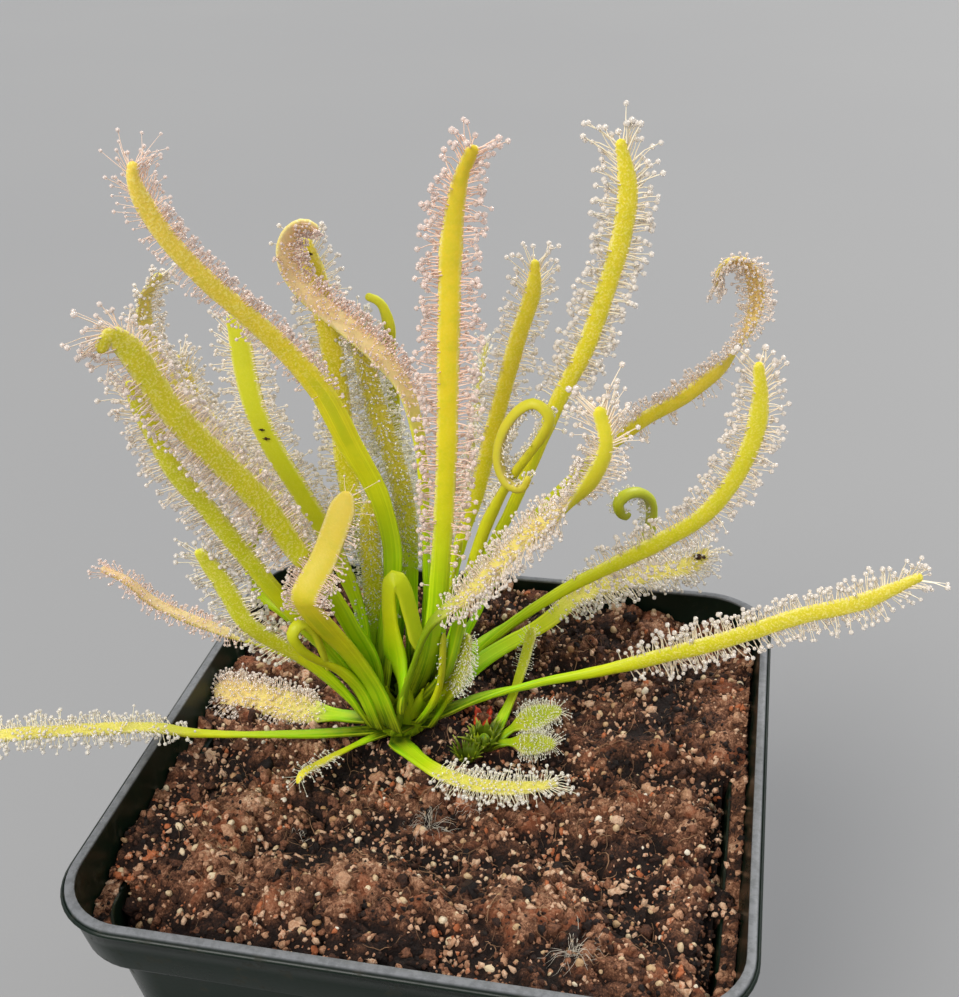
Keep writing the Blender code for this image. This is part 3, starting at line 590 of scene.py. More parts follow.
# %% Build a leaf's mesh with its attributes
def leaf_mesh(leaf, stem):
    """The strap of one leaf, with the values that its finish and hairs read."""
    stations = leaf_stations(leaf, stem, STATION_SPACING)
    first, along, side, face = stations[0]
    inward = Vector((stem.place.x - first.x, stem.place.y - first.y, 0)) * ROOT_SHARE
    stations.insert(0, (first + inward - Vector((0, 0, ROOT_DEPTH)), along, side, face))
    last = len(stations) - 1
    places = [(i / last, *station) for i, station in enumerate(stations[:-1])]
    before, end = stations[-2][0], stations[-1][0]
    for share in TIP_SHARES:
        places.append(((last - 1 + share) / last, before.lerp(end, share), *stations[-1][1:]))
    rings, facts = [], []
    middle_share = 0.3 + 1.4 * max(leaf.nap - 0.45, 0)
    for u, middle, along, side, face in places:
        blade = ease((u - leaf.blade_from) / 0.15 + 0.5)
        half = leaf_width(leaf, u, last * STATION_SPACING) / 2
        full = PETIOLE_THICKNESS + (BLADE_THICKNESS - PETIOLE_THICKNESS) * blade
        thick = min(full * leaf.plump / 2, half * 0.62 * leaf.plump)
        tip = ease((u - 0.9) / 0.1)
        ring = []
        for a, b, upper in strap_section(0.55 - 0.2 * blade, 0.3):
            point = middle + side * half * a + face * thick * b
            rough = noise.noise(point / (0.5 * MM)) * 0.05 * MM
            rough += noise.noise(point / (4 * MM)) * 0.1 * MM
            ring.append(point + (side * a + face * b) * rough)
            edge = abs(a) ** 1.5
            share = blade * ease((upper + 0.8) / 0.3) * (middle_share + (1 - middle_share) * edge)
            share *= 1 - leaf.bald * ease((u - 0.74) / 0.06)
            share *= 1 - abs(leaf.rim) * ease(((a if leaf.rim > 0 else -a) - 0.5) / 0.3)
            length = leaf.nap + (1 - leaf.nap) * edge
            reach = leaf.reach * length * (0.5 + 0.5 * blade) * (1 + (leaf.tip - 1) * tip)
            drop = leaf.drop * (0.2 + 0.8 * max(length, tip)) * (1 + (leaf.bead - 1) * tip)
            lean = a * HAIR_LEAN
            if upper <= 0:
                lean = (1 if a > 0 else -1) * (HAIR_LEAN - upper * 0.5)
            aim = side * sin(lean) + face * cos(lean) + along * (0.12 + 1.5 * tip)
            facts.append((u, blade, abs(a), upper, share * min(leaf.dense, 1), reach * MM,
                          drop * MM, aim.normalized()))
        rings.append(ring)
    bm = bmesh.new()
    loft_rings(bm, rings)
    mesh = finish_mesh(bm, leaf.name)
    columns = dict(zip(["along", "blade", "across", "upper", "gland_share", "gland_reach",
                        "gland_drop", "gland_aim"], zip(*facts)))
    aims = [x for aim in columns.pop("gland_aim") for x in aim]
    for name in ("yellow", "blush", "pink", "speckle", "dark", "tone"):
        columns[name] = [getattr(leaf, name)] * len(facts)
    for name, column in columns.items():
        mesh.attributes.new(name, "FLOAT", "POINT").data.foreach_set("value", column)
    mesh.attributes.new("gland_aim", "FLOAT_VECTOR", "POINT").data.foreach_set("vector", aims)
    return mesh


print("one leaf has", len(leaf_mesh(LEAVES[0], CROWN).polygons), "faces")

# %% [markdown]
# ## Leaf tissue
# Light passes into a sundew leaf and comes out yellower, which subsurface
# scattering gives. The colour runs from deep green at the crown through lime
# to yellow, with an orange flush where the leaf is old. At the very base the
# green is painted almost black: painted shade among the packed leaf bases.
# Close to the edges the feet of the hairs make pale granules, so the same
# noise that lightens the colour also raises the surface.

# %% Leaf material
def leaf_tissue():
    tree = new_material("leaf_tissue", Subsurface_Weight=0.2, Subsurface_Scale=0.0012,
                        Subsurface_Radius=(1.0, 0.8, 0.1), Specular_IOR_Level=0.3)
    place = tree.object_place()
    along, blade, across = [tree.attribute(name) for name in ("along", "blade", "across")]
    yellow, blush, speckle = [tree.attribute(name) for name in ("yellow", "blush", "speckle")]
    # Painted shade: the near-black green at the very base of each leaf stands for shade among the
    # packed bases at the crown; the lime beyond it is the leaf's own colour.
    color = tree.mix(tree.step(along, 0.03, 0.18), (0.006, 0.045, 0.001), (0.32, 0.66, 0.002))
    color = tree.mix(tree.step(along, 0.14, 0.48), color, (0.70, 0.72, 0.006))
    ripe = tree.mix(yellow, (0.50, 0.64, 0.006), (0.88, 0.67, 0.022))
    color = tree.mix(tree.step(along, 0.3, 0.7), color, ripe)
    mottle = tree.noise(place, 700.0, 4.0, 0.6)
    color = tree.mix(tree.step(mottle, 0.4, 0.7) * 0.25, color, (0.50, 0.58, 0.006))
    color = tree.mix(blush * tree.step(along, 0.55, 1.0) * 0.75, color, (0.92, 0.56, 0.20))
    streaky = tree.xyz(across * 9.0, along * 3.0, tree.attribute("upper"))
    streaks = tree.noise(streaky, 1.0, 2.0)
    color = tree.mix(tree.step(streaks, 0.45, 0.75) * (1 - blade) * 0.5, color, (0.80, 0.90, 0.02))
    color = tree.mix(tree.step(streaks, 0.5, 0.3) * (1 - blade) * 0.35, color, (0.24, 0.46, 0.003))
    color = tree.mix(tree.attribute("dark") * (1 - blade), color, (0.17, 0.26, 0.005))
    grains = tree.noise(place, 3200.0, 2.0, 0.6)
    grainy = tree.step(grains, 0.5, 0.62)
    fringe = tree.step(across, 0.6, 1.0) * blade * tree.step(speckle, 0.0, 0.1)
    color = tree.mix(grainy * (1 - fringe) * speckle * blade * 0.5, color, (0.98, 0.88, 0.30))
    color = tree.mix(tree.step(grains, 0.47, 0.38) * speckle * blade * 0.3, color, (0.56, 0.50, 0.008))
    color = tree.mix(fringe * (0.3 + 0.55 * grainy), color, (0.98, 0.88, 0.48))
    upper = tree.step(tree.attribute("upper"), 0.0, 0.4) * blade
    upper = upper * (1 - 0.7 * tree.step(across, 0.72, 0.95))
    color = tree.mix(upper * tree.attribute("pink") * 0.75, color, (1.0, 0.74, 0.50))
    color = tree.mix(1 - tree.attribute("tone"), color, (0, 0, 0))
    roughness = 0.36 + 0.2 * mottle + 0.12 * speckle * blade
    height = grains * (0.2 + 0.9 * speckle * blade + 0.6 * fringe) + 0.5 * mottle
    return finish_material(tree, color, roughness, height, 0.6, 0.16 * MM)


LEAF_TISSUE = leaf_tissue()
print("material:", LEAF_TISSUE.name)

# %% [markdown]
# ## Gland hairs
# A sundew catches flies with stalked glands: a thin stalk, a club-shaped head
# and a drop of clear glue around it. There are thousands, so Geometry Nodes
# scatter them. Points are spread over the leaf with a least distance between
# them, a bent line is set on each and turned into a tapered stalk, and a
# small sphere goes on its end. Everything is realised, because an export
# keeps no instances.

# %% Helpers for geometry trees
def new_geometry_tree(name, sockets):
    """A geometry node group with named inputs: its tree, its input wires and itself."""
    group = bpy.data.node_groups.new(name, "GeometryNodeTree")
    group.interface.new_socket("Geometry", in_out="INPUT", socket_type="NodeSocketGeometry")
    group.interface.new_socket("Geometry", in_out="OUTPUT", socket_type="NodeSocketGeometry")
    for label, kind in sockets.items():
        group.interface.new_socket(label, in_out="INPUT", socket_type="NodeSocket" + kind)
    tree = Tree(group)
    entry = group.nodes.new("NodeGroupInput")
    wires = {socket.name: Wire(tree, socket) for socket in entry.outputs if socket.name}
    return tree, wires, group


def close_tree(tree, geometry):
    """Send the last geometry to the group's output."""
    exit_node = tree.nodes.new("NodeGroupOutput")
    tree.feed(exit_node.inputs[0], geometry)


def run_tree(name, mesh, group, values):
    """Run a group on a mesh, and return an object that holds the plain result."""
    host = new_object(name, mesh)
    modifier = host.modifiers.new(group.name, "NODES")
    modifier.node_group = group
    for item in group.interface.items_tree:
        if item.name in values:
            modifier[item.identifier] = values[item.name]
    depsgraph = bpy.context.evaluated_depsgraph_get()
    result = bpy.data.meshes.new_from_object(host.evaluated_get(depsgraph))
    host.modifiers.remove(modifier)
    host.data = result
    result.name = name
    return host


def named(tree, name, kind="FLOAT"):
    """Read an attribute in a geometry tree."""
    return tree.node("GeometryNodeInputNamedAttribute", {"Name": name}, data_type=kind)


def store(tree, geometry, name, value, kind="FLOAT"):
    """Write an attribute in a geometry tree."""
    values = {"Geometry": geometry, "Name": name, "Value": value}
    return tree.node("GeometryNodeStoreNamedAttribute", values, data_type=kind)


def random_number(tree, low, high, seed):
    values = {2: low, 3: high, "Seed": seed}
    return tree.node("FunctionNodeRandomValue", values, out=1, data_type="FLOAT")


def random_vector(tree, size, seed):
    """A random vector whose parts lie between -size and size."""
    values = {0: (-1, -1, -1), 1: (1, 1, 1), "Seed": seed}
    direction = tree.node("FunctionNodeRandomValue", values, data_type="FLOAT_VECTOR")
    return tree.vector("SCALE", direction, scale=size)


def set_material(tree, geometry, finish):
    return tree.node("GeometryNodeSetMaterial", {"Geometry": geometry, "Material": finish})


def realize(tree, geometry):
    return tree.node("GeometryNodeRealizeInstances", {"Geometry": geometry})


def scatter(tree, given, density):
    """Points over the faces, with a least distance between them."""
    return tree.node("GeometryNodeDistributePointsOnFaces", {
        "Mesh": given["Geometry"], "Distance Min": given["Spacing"], "Density Max": given["Density"],
        "Density Factor": named(tree, density), "Seed": given["Seed"]}, distribute_method="POISSON")


print("geometry helpers ready")

# %% The gland hairs' tree
def gland_tree():
    tree, given, group = new_geometry_tree("gland hairs", {
        "Spacing": "Float", "Density": "Float", "Stalk radius": "Float", "Wander": "Float",
        "Droop": "Float", "Seed": "Int", "Stalk finish": "Material", "Drop finish": "Material"})
    points = scatter(tree, given, "gland_share")
    seed = given["Seed"]
    reach = named(tree, "gland_reach") * random_number(tree, 0.45, 1.1, seed + 1)
    points = store(tree, points, "reach", reach)
    drop = named(tree, "gland_drop") * random_number(tree, 0.8, 1.15, seed + 2)
    points = store(tree, points, "drop", drop)
    bend = random_vector(tree, named(tree, "reach") * 0.22, seed + 3)
    points = store(tree, points, "bend", bend, "FLOAT_VECTOR")
    wander = random_vector(tree, given["Wander"], seed + 4)
    aim = tree.vector("ADD", named(tree, "gland_aim", "FLOAT_VECTOR"), wander)
    turned = tree.node("FunctionNodeAlignRotationToVector", {"Vector": aim}, axis="Z")
    line = tree.node("GeometryNodeCurvePrimitiveLine", {"Start": (0, 0, 0), "End": (0, 0, 1)},
                     mode="POINTS")
    line = tree.node("GeometryNodeResampleCurve", {"Curve": line, "Count": 3}, mode="COUNT")
    reach = named(tree, "reach")
    stalks = realize(tree, tree.node("GeometryNodeInstanceOnPoints", {
        "Points": points, "Instance": line, "Rotation": turned,
        "Scale": tree.xyz(reach, reach, reach)}))
    t = tree.node("GeometryNodeSplineParameter")
    sag = tree.xyz(0, 0, reach * given["Droop"] * -1.0)
    offset = tree.vector("ADD", named(tree, "bend", "FLOAT_VECTOR"), sag)
    offset = tree.vector("SCALE", offset, scale=t * t)
    stalks = tree.node("GeometryNodeSetPosition", {"Geometry": stalks, "Offset": offset})
    ends = tree.node("GeometryNodeCurveEndpointSelection", {"Start Size": 0, "End Size": 1})
    drop = named(tree, "drop")
    width = given["Stalk radius"] * (1.0 - 0.45 * t) * (drop / (0.35 * MM))
    ring = tree.node("GeometryNodeCurvePrimitiveCircle", {"Resolution": 3, "Radius": 1.0},
                     mode="RADIUS")
    tubes = tree.node("GeometryNodeCurveToMesh", {
        "Curve": stalks, "Profile Curve": ring, "Scale": width, "Fill Caps": True})
    tubes = set_material(tree, tubes, given["Stalk finish"])
    ball = tree.node("GeometryNodeMeshIcoSphere", {"Subdivisions": 1, "Radius": 1.0})
    balls = realize(tree, tree.node("GeometryNodeInstanceOnPoints", {
        "Points": stalks, "Selection": ends, "Instance": ball,
        "Scale": tree.xyz(drop, drop, drop)}))
    balls = set_material(tree, balls, given["Drop finish"])
    hairs = tree.node("GeometryNodeJoinGeometry", {0: [tubes, balls]})
    hairs = tree.node("GeometryNodeSetShadeSmooth", {"Geometry": hairs, "Shade Smooth": True})
    close_tree(tree, realize(tree, hairs))
    return group


GLAND_TREE = gland_tree()
print("tree:", GLAND_TREE.name, "nodes:", len(GLAND_TREE.nodes))

# %% [markdown]
# The stalks are cream to pinkish and let some light through. The drops are
# clear glue: nearly half transmission, with a sharp highlight, and tinted so
# that they still read against a pale backdrop.

# %% Hair materials
def pink_mix(tree, plain, pink):
    """A colour that depends on how pink the leaf's hairs are."""
    return tree.mix(tree.step(tree.attribute("pink"), 0, 0.9), plain, pink)


def gland_stalk():
    tree = new_material("gland_stalk", Roughness=0.35, Subsurface_Weight=0.2,
                        Subsurface_Scale=0.0005, Subsurface_Radius=(1.0, 0.6, 0.4))
    return finish_material(tree, pink_mix(tree, (0.96, 0.91, 0.64), (1.0, 0.68, 0.54)))


def glue_drop():
    tree = new_material("glue_drop", Roughness=0.06, IOR=1.4, Transmission_Weight=0.45,
                        Specular_IOR_Level=0.8)
    return finish_material(tree, pink_mix(tree, (0.98, 0.95, 0.86), (1.0, 0.84, 0.76)))


GLAND_STALK = gland_stalk()
GLUE_DROP = glue_drop()
print("materials:", GLAND_STALK.name, GLUE_DROP.name)

# %% [markdown]
# ## Grow the plant
# Every leaf is built from its row, rides on the model's one body and stands
# for its plain solid. Its hairs are a piece of their own, so that neither
# mesh grows too big.

# %% Build the leaves and their hairs
HAIR_SPACING = 0.39 * MM
HAIRS_PER_SQUARE_METRE = 4e7
STALK_RADIUS = 0.1 * MM
WANDER = 0.25  # how far a hair's direction strays from its aim
DROOP = 0.12  # how far a hair's end sags, as a share of its length


def seat_piece(piece, slot, *nodes):
    """Let a piece ride on the body and stand for solids; the slot is not used."""
    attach(piece, "root")
    if nodes:
        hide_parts(*nodes)
    return piece


def triangles(*pieces):
    return sum(len(face.vertices) - 2 for piece in pieces for face in piece.data.polygons)


def grow_leaf(leaf, seed, stem):
    """One leaf and its hairs, if it has any."""
    mesh = leaf_mesh(leaf, stem)
    pieces = []
    if leaf.dense:
        hairs = run_tree(leaf.name + "_hairs", mesh, GLAND_TREE, {
            "Spacing": HAIR_SPACING / sqrt(max(leaf.dense, 1)),
            "Density": HAIRS_PER_SQUARE_METRE, "Stalk radius": STALK_RADIUS, "Wander": WANDER,
            "Droop": DROOP, "Seed": seed, "Stalk finish": GLAND_STALK, "Drop finish": GLUE_DROP})
        pieces.append(seat_piece(hairs, "leaf_lime"))
    strap = new_object(leaf.name + "_strap", mesh, LEAF_TISSUE)
    return pieces + [seat_piece(strap, "leaf_lime", leaf.name)]


plant = []
for stem, leaves, first_seed in ((CROWN, LEAVES, 0), (PLANTLET, PLANTLET_LEAVES, 500)):
    for number, leaf in enumerate(leaves):
        plant += grow_leaf(leaf, first_seed + 10 * number, stem)
print("leaves and hairs, triangles:", triangles(*plant))

# %% [markdown]
# ## The crown
# Leaves grow from a short stem, the crown. Little of it shows between the
# bases, so it is a plain lumpy stub, rounded on top, that closes the middle.

# %% Build the crowns
# Share of the stub's radius at each share of its height.
STUB_PROFILE = [(0.86, -0.1), (1.0, 0.0), (0.97, 0.12), (0.9, 0.3), (0.8, 0.5), (0.66, 0.72),
                (0.5, 0.88), (0.28, 0.97), (0.08, 1.0)]
STUB_SIDES = 28


def stub_mesh(name, centre, foot, top, height):
    """A short rounded stem with a knobbly side."""
    bm = bmesh.new()
    rings = []
    for share, rise in STUB_PROFILE:
        radius = (foot + (top - foot) * max(rise, 0)) * min(share / (1 - 0.3 * max(rise, 0)), 1)
        level = SOIL_Z + 0.3 * MM + height * rise
        ring = []
        for k in range(STUB_SIDES):
            angle = 2 * pi * k / STUB_SIDES
            point = centre + Vector((radius * cos(angle), radius * sin(angle), level))
            out = Vector((cos(angle), sin(angle), 0))
            ring.append(point + out * noise.noise(point / (1.5 * MM)) * 0.3 * MM)
        rings.append(ring)
    loft_rings(bm, rings)
    return finish_mesh(bm, name)


def crown_skin():
    tree = new_material("crown_skin", Roughness=0.5, Subsurface_Weight=0.15, Subsurface_Scale=0.001)
    mottle = tree.noise(tree.object_place(), 700.0, 4.0)
    color = tree.mix(tree.step(mottle, 0.35, 0.65), (0.10, 0.22, 0.004), (0.28, 0.42, 0.01))
    return finish_material(tree, color, None, mottle, 0.6, 0.3 * MM)


CROWN_SKIN = crown_skin()
for name, node, stem, foot, top, height in (
        ("crown_stem", "crown", CROWN, 3.9, 1.5, 8.0),
        ("plantlet_stem", "plantlet_crown", PLANTLET, 1.2, 0.8, 1.6)):
    stub = stub_mesh(name, stem.place, foot * MM, top * MM, height * MM)
    seat_piece(new_object(name, stub, CROWN_SKIN), "crown_green", node)
    print(name, "height in mm:", height)

# %% [markdown]
# Short, broad scales and the youngest blades stand packed round the stem and
# hide it. They are rows like any other leaf, only made by a loop, and all of
# them become one piece. The plantlet gets a tuft of the same kind. A smaller
# tuft beside it is moss, and a few red scraps are a dead leaf.

# %% Scales round the crown
def scale_rows(count, splay, tall, wide, seed, look):
    """Rows of short upright blades that stand in a ring, with random heights."""
    noise.seed_set(seed)
    rows = []
    for k in range(count):
        direction = 360 * (k + 0.6 * noise.random()) / count
        height = tall * (0.55 + 0.45 * noise.random())
        lean = height * splay * (0.3 + 0.7 * noise.random())
        run = [(0.25 * lean, 0.4 * height), (0.6 * lean, 0.75 * height), (lean, height)]
        roll = 40 * noise.random() - 20
        rows.append(Leaf("scale", (direction, 0.5), direction, run, wide, wide * 0.3, 0.75, roll,
                         **look))
    return rows


def dead_leaf():
    """Red-brown tissue of a leaf that has withered."""
    tree = new_material("dead_leaf", Roughness=0.5)
    patches = tree.noise(tree.object_place(), 900.0, 3.0)
    color = tree.mix(tree.step(patches, 0.4, 0.6), (0.80, 0.07, 0.02), (0.40, 0.04, 0.015))
    return finish_material(tree, color)


SCALE_LOOK = dict(yellow=0.1, blush=0, speckle=0, dense=0, taper=0.5, dark=0.5)
TUFT_LOOK = dict(yellow=0, blush=0, speckle=0, dense=0, taper=0.6, dark=1, tone=0.5)
# Name, look, finish, place from the crown, radius of the ring, and for each ring of scales:
# how many, how far they splay, how tall and wide they are, and a seed.
CLUSTERS = [
    ("crown_scales", SCALE_LOOK, LEAF_TISSUE, (0, 0), 2.4,
     [(15, 0.4, 11, 3.4, 11), (9, 0.3, 19, 2.8, 23)]),
    ("plantlet_scales", TUFT_LOOK, LEAF_TISSUE, (14, -3), 0.5,
     [(16, 1.3, 2.8, 1.0, 37), (9, 0.12, 3.4, 1.1, 41)]),
    ("moss_tuft", TUFT_LOOK, LEAF_TISSUE, (12, -6.4), 0.7,
     [(18, 1.2, 2.0, 0.4, 53), (10, 0.5, 2.2, 0.4, 59)]),
    ("dead_scrap", SCALE_LOOK, dead_leaf(), (12.6, 2.4), 0.2, [(4, 0.9, 1.9, 1.1, 61)])]
for name, look, finish, (x, y), radius, rings in CLUSTERS:
    ring_stem = Stem(CROWN.place + Vector((x, y, 0)) * MM, radius * MM, radius * MM)
    bm = bmesh.new()
    for ring in rings:
        for scale in scale_rows(*ring, look):
            bm.from_mesh(leaf_mesh(scale, ring_stem))
    cluster = seat_piece(new_object(name, smooth_mesh(bm, name), finish), "crown_green")
    print(name, "triangles:", triangles(cluster))

# %% [markdown]
# ## The pot
# A nursery pot is thin moulded plastic with a rolled lip, a straight band
# below it and a tapered body. Rings of a rounded square, one for each level of the
# wall, are lofted up the outside, over the lip and down the inside. The lip
# gets what the plain model leaves out: a flat land, a groove and a bead.

# %% Sizes of the pot
RIM_SIDE = 90 * MM
RIM_CORNER = 10.7 * MM
LIP_REACH = 0.5 * MM
BAND_HEIGHT = 8.0 * MM
BAND_DRAFT = 1.2 * MM
LEDGE_WIDTH = 2.3 * MM
WALL = 1.2 * MM
FOOT_SIDE = 60 * MM
FOOT_CORNER = 7 * MM
FOOT_EDGE = 0.8 * MM
DRAIN_HOLE_RADIUS = 4.5 * MM
DRAIN_HOLE_PLACE = 17 * MM
DRAIN_HOLE_SIDES = 40
SHARP_ANGLE = 50
CORNER_STEPS = 12
SIDE_STEPS = 6


def rounded_square(half, corner, z):
    """Points round a square with round corners, at one height."""
    middle = half - corner
    points = []
    for quarter, (x, y) in enumerate([(1, 1), (-1, 1), (-1, -1), (1, -1)]):
        for step in range(CORNER_STEPS + 1):
            angle = (quarter + step / CORNER_STEPS) * pi / 2
            across, ahead = x * middle + corner * cos(angle), y * middle + corner * sin(angle)
            points.append(Vector((across, ahead, z)))
        start, (nx, ny) = points[-1], [(-1, 1), (-1, -1), (1, -1), (1, 1)][quarter]
        angle = (quarter + 1) * pi / 2
        end = Vector((nx * middle + corner * cos(angle), ny * middle + corner * sin(angle), z))
        points += [start.lerp(end, step / SIDE_STEPS) for step in range(1, SIDE_STEPS)]
    return points


def body_half(z):
    """Half the outer width of the pot's tapered body at a height."""
    top = RIM_SIDE / 2 - LIP_REACH - BAND_DRAFT - LEDGE_WIDTH
    return FOOT_SIDE / 2 + (top - FOOT_SIDE / 2) * z / (POT_HEIGHT - BAND_HEIGHT)


def body_corner(z):
    return FOOT_CORNER + (RIM_CORNER - 2 * MM - FOOT_CORNER) * z / (POT_HEIGHT - BAND_HEIGHT)


print("foot and shoulder half width in mm:", round(body_half(0) / MM, 1),
      round(body_half(POT_HEIGHT - BAND_HEIGHT) / MM, 1))

# %% Levels of the pot's wall
# The rolled lip with its groove and bead, from the band's top to the flat land: how far in
# or out of the rim its half width, corner radius and height are, in millimetres.
LIP = [(-0.08, -0.05, -0.98), (0, 0, -0.75), (-0.08, -0.05, -0.52), (-0.28, -0.2, -0.42),
       (-0.42, -0.35, -0.5), (-0.52, -0.4, -0.35), (-0.6, -0.45, -0.08), (-0.7, -0.5, 0)]


def pot_profile():
    """(half width, corner radius, height) from the foot, over the lip, to the floor inside."""
    band = RIM_SIDE / 2 - LIP_REACH
    ledge = POT_HEIGHT - BAND_HEIGHT
    outside = [(body_half(0) - inset * FOOT_EDGE, FOOT_CORNER - inset * FOOT_EDGE, rise * FOOT_EDGE)
               for inset, rise in ((1.6, 0), (1, 0), (0.3, 0.25))]
    outside.append((body_half(FOOT_EDGE), FOOT_CORNER, FOOT_EDGE))
    for k in range(1, 12):
        z = FOOT_EDGE + (ledge - 1.4 * MM - FOOT_EDGE) * k / 11
        outside.append((body_half(z), body_corner(z), z))
    outside += [(body_half(ledge), body_corner(ledge), ledge - 0.75 * MM),
                (body_half(ledge) + 0.15 * MM, body_corner(ledge), ledge - 0.55 * MM),
                (band - BAND_DRAFT - 0.5 * MM, RIM_CORNER - 1.2 * MM, ledge - 0.12 * MM),
                (band - BAND_DRAFT - 0.12 * MM, RIM_CORNER - 1 * MM, ledge),
                (band - BAND_DRAFT, RIM_CORNER - 1 * MM, ledge + 0.3 * MM),
                (band - BAND_DRAFT * 0.5, RIM_CORNER - 0.8 * MM, ledge + 0.5 * BAND_HEIGHT),
                (band - 0.05 * MM, RIM_CORNER - LIP_REACH, POT_HEIGHT - 1.25 * MM),
                (band + 0.12 * MM, RIM_CORNER - 0.3 * MM, POT_HEIGHT - 1.12 * MM)]
    outside += [(RIM_SIDE / 2 + out * MM, RIM_CORNER + corner * MM, POT_HEIGHT + rise * MM)
                for out, corner, rise in LIP]
    inner = band - WALL
    inside = [(inner + 0.12 * MM, RIM_CORNER - WALL, POT_HEIGHT),
              (inner + 0.02 * MM, RIM_CORNER - WALL, POT_HEIGHT - 0.08 * MM),
              (inner, RIM_CORNER - WALL, POT_HEIGHT - 0.3 * MM),
              (inner - BAND_DRAFT * 0.5, RIM_CORNER - 1.5 * WALL, ledge + 0.5 * BAND_HEIGHT),
              (inner - BAND_DRAFT, RIM_CORNER - 2 * WALL, ledge + WALL),
              (body_half(ledge) - WALL + 0.2 * MM, body_corner(ledge) - WALL, ledge + WALL * 0.55),
              (body_half(ledge) - WALL, body_corner(ledge) - WALL, ledge + WALL * 0.2)]
    for k in range(8, 0, -1):
        z = 2 * WALL + (ledge - 2 * WALL) * k / 9
        inside.append((body_half(z) - WALL, body_corner(z) - WALL, z))
    inside += [(body_half(2 * WALL) - WALL, FOOT_CORNER - WALL, 2 * WALL),
               (body_half(WALL) - 1.3 * WALL, FOOT_CORNER - 1.3 * WALL, 1.3 * WALL),
               (body_half(WALL) - 2 * WALL, FOOT_CORNER - 2 * WALL, WALL)]
    return outside + inside


print("levels:", len(pot_profile()))

# %% Build the pot
def pot_mesh():
    """The lofted shell with its four drain holes cut."""
    bm = bmesh.new()
    loft_rings(bm, [rounded_square(*level) for level in pot_profile()])
    pot = new_object("pot_shell", finish_mesh(bm, "pot_shell"))
    cutters = []
    for x in (-1, 1):
        for y in (-1, 1):
            bm = bmesh.new()
            bmesh.ops.create_cone(bm, cap_ends=True, segments=DRAIN_HOLE_SIDES,
                                  radius1=DRAIN_HOLE_RADIUS, radius2=DRAIN_HOLE_RADIUS,
                                  depth=6 * WALL)
            bmesh.ops.translate(bm, verts=bm.verts,
                                vec=(x * DRAIN_HOLE_PLACE, y * DRAIN_HOLE_PLACE, 0))
            mesh = bpy.data.meshes.new("drain_cutter")
            bm.to_mesh(mesh)
            bm.free()
            cutters.append(new_object("drain_cutter", mesh))
            cut = pot.modifiers.new("drain hole", "BOOLEAN")
            cut.operation = "DIFFERENCE"
            cut.object = cutters[-1]
    depsgraph = bpy.context.evaluated_depsgraph_get()
    result = bpy.data.meshes.new_from_object(pot.evaluated_get(depsgraph))
    for thing in cutters + [pot]:
        bpy.data.objects.remove(thing, do_unlink=True)
    result.shade_smooth()
    result.set_sharp_from_angle(angle=radians(SHARP_ANGLE))
    return result


pot = new_object("pot_shell", pot_mesh())
print("pot, triangles:", triangles(pot))

# %% Pot plastic
def pot_plastic():
    tree = new_material("pot_plastic", Specular_IOR_Level=0.22, IOR=1.5)
    place = tree.object_place()
    broad = tree.noise(place, 60.0, 3.0)
    dust = tree.step(tree.noise(place, 420.0, 5.0, 0.65), 0.55, 0.72)
    height = tree.part_of(place, 2)
    # The lip's flat top is painted light grey, broken into patches by noise: a painted reflection of
    # the bright room on the glossy lip.
    rim = tree.step(height, POT_HEIGHT - 0.5 * MM, POT_HEIGHT - 0.05 * MM)
    color = tree.mix(broad, (0.002, 0.006, 0.003), (0.004, 0.013, 0.007))
    color = tree.mix(dust * 0.07, color, (0.30, 0.22, 0.16))
    lip_sheen_patches = tree.noise(place, 900.0, 4.0, 0.7)
    color = tree.mix(rim * (0.72 + 0.28 * tree.step(lip_sheen_patches, 0.35, 0.6)), color, (0.18, 0.185, 0.195))
    roughness = 0.22 + 0.14 * broad + 0.3 * dust + 0.2 * rim
    scratches = tree.noise(place, 1500.0, 3.0)
    return finish_material(tree, color, roughness, broad * 0.8 + scratches * 0.2, 0.15, 0.4 * MM)


pot.data.materials.append(pot_plastic())
seat_piece(pot, "pot_plastic", "pot")
print("material:", pot.data.materials[0].name)

# %% [markdown]
# ## The soil
# Peat is never flat: it has clods the size of peas, dark hollows between
# them, and here it sinks round the plant and banks up against the walls. Its
# top is a grid whose corners are pulled round to fit the pot. One height
# function adds the banks, the clods and the crumbs, and it also seats
# whatever lies on the soil later.

# %% Banks and hollows of the soil
SOIL_GAP = 0.4 * MM
SOIL_HALF = body_half(SOIL_Z - 1.5 * MM) - WALL - SOIL_GAP
SOIL_CORNER = body_corner(SOIL_Z) - WALL
SOIL_GRID = 200
EDGE_CROWDING = 0.3
LEDGE_MIDDLE = 41.3 * MM
LEDGE_TOP = POT_HEIGHT - BAND_HEIGHT + WALL
HOLLOW_MIDDLE = Vector((-2 * MM, 6 * MM))
SOIL_BELOW_RIM = 1.2 * MM
# Where the soil has shrunk from the wall at the front right.
GROOVE_PLACE = 38.3 * MM
GROOVE_WIDTH = 0.9 * MM
# A leaf that lies low presses the soil down, so that it stays clear of it.
LOW_LEAF_GAP = 0.2 * MM
LOW_LEAF_REACH = 1.8 * MM
HALF_LEAF = 0.6 * MM

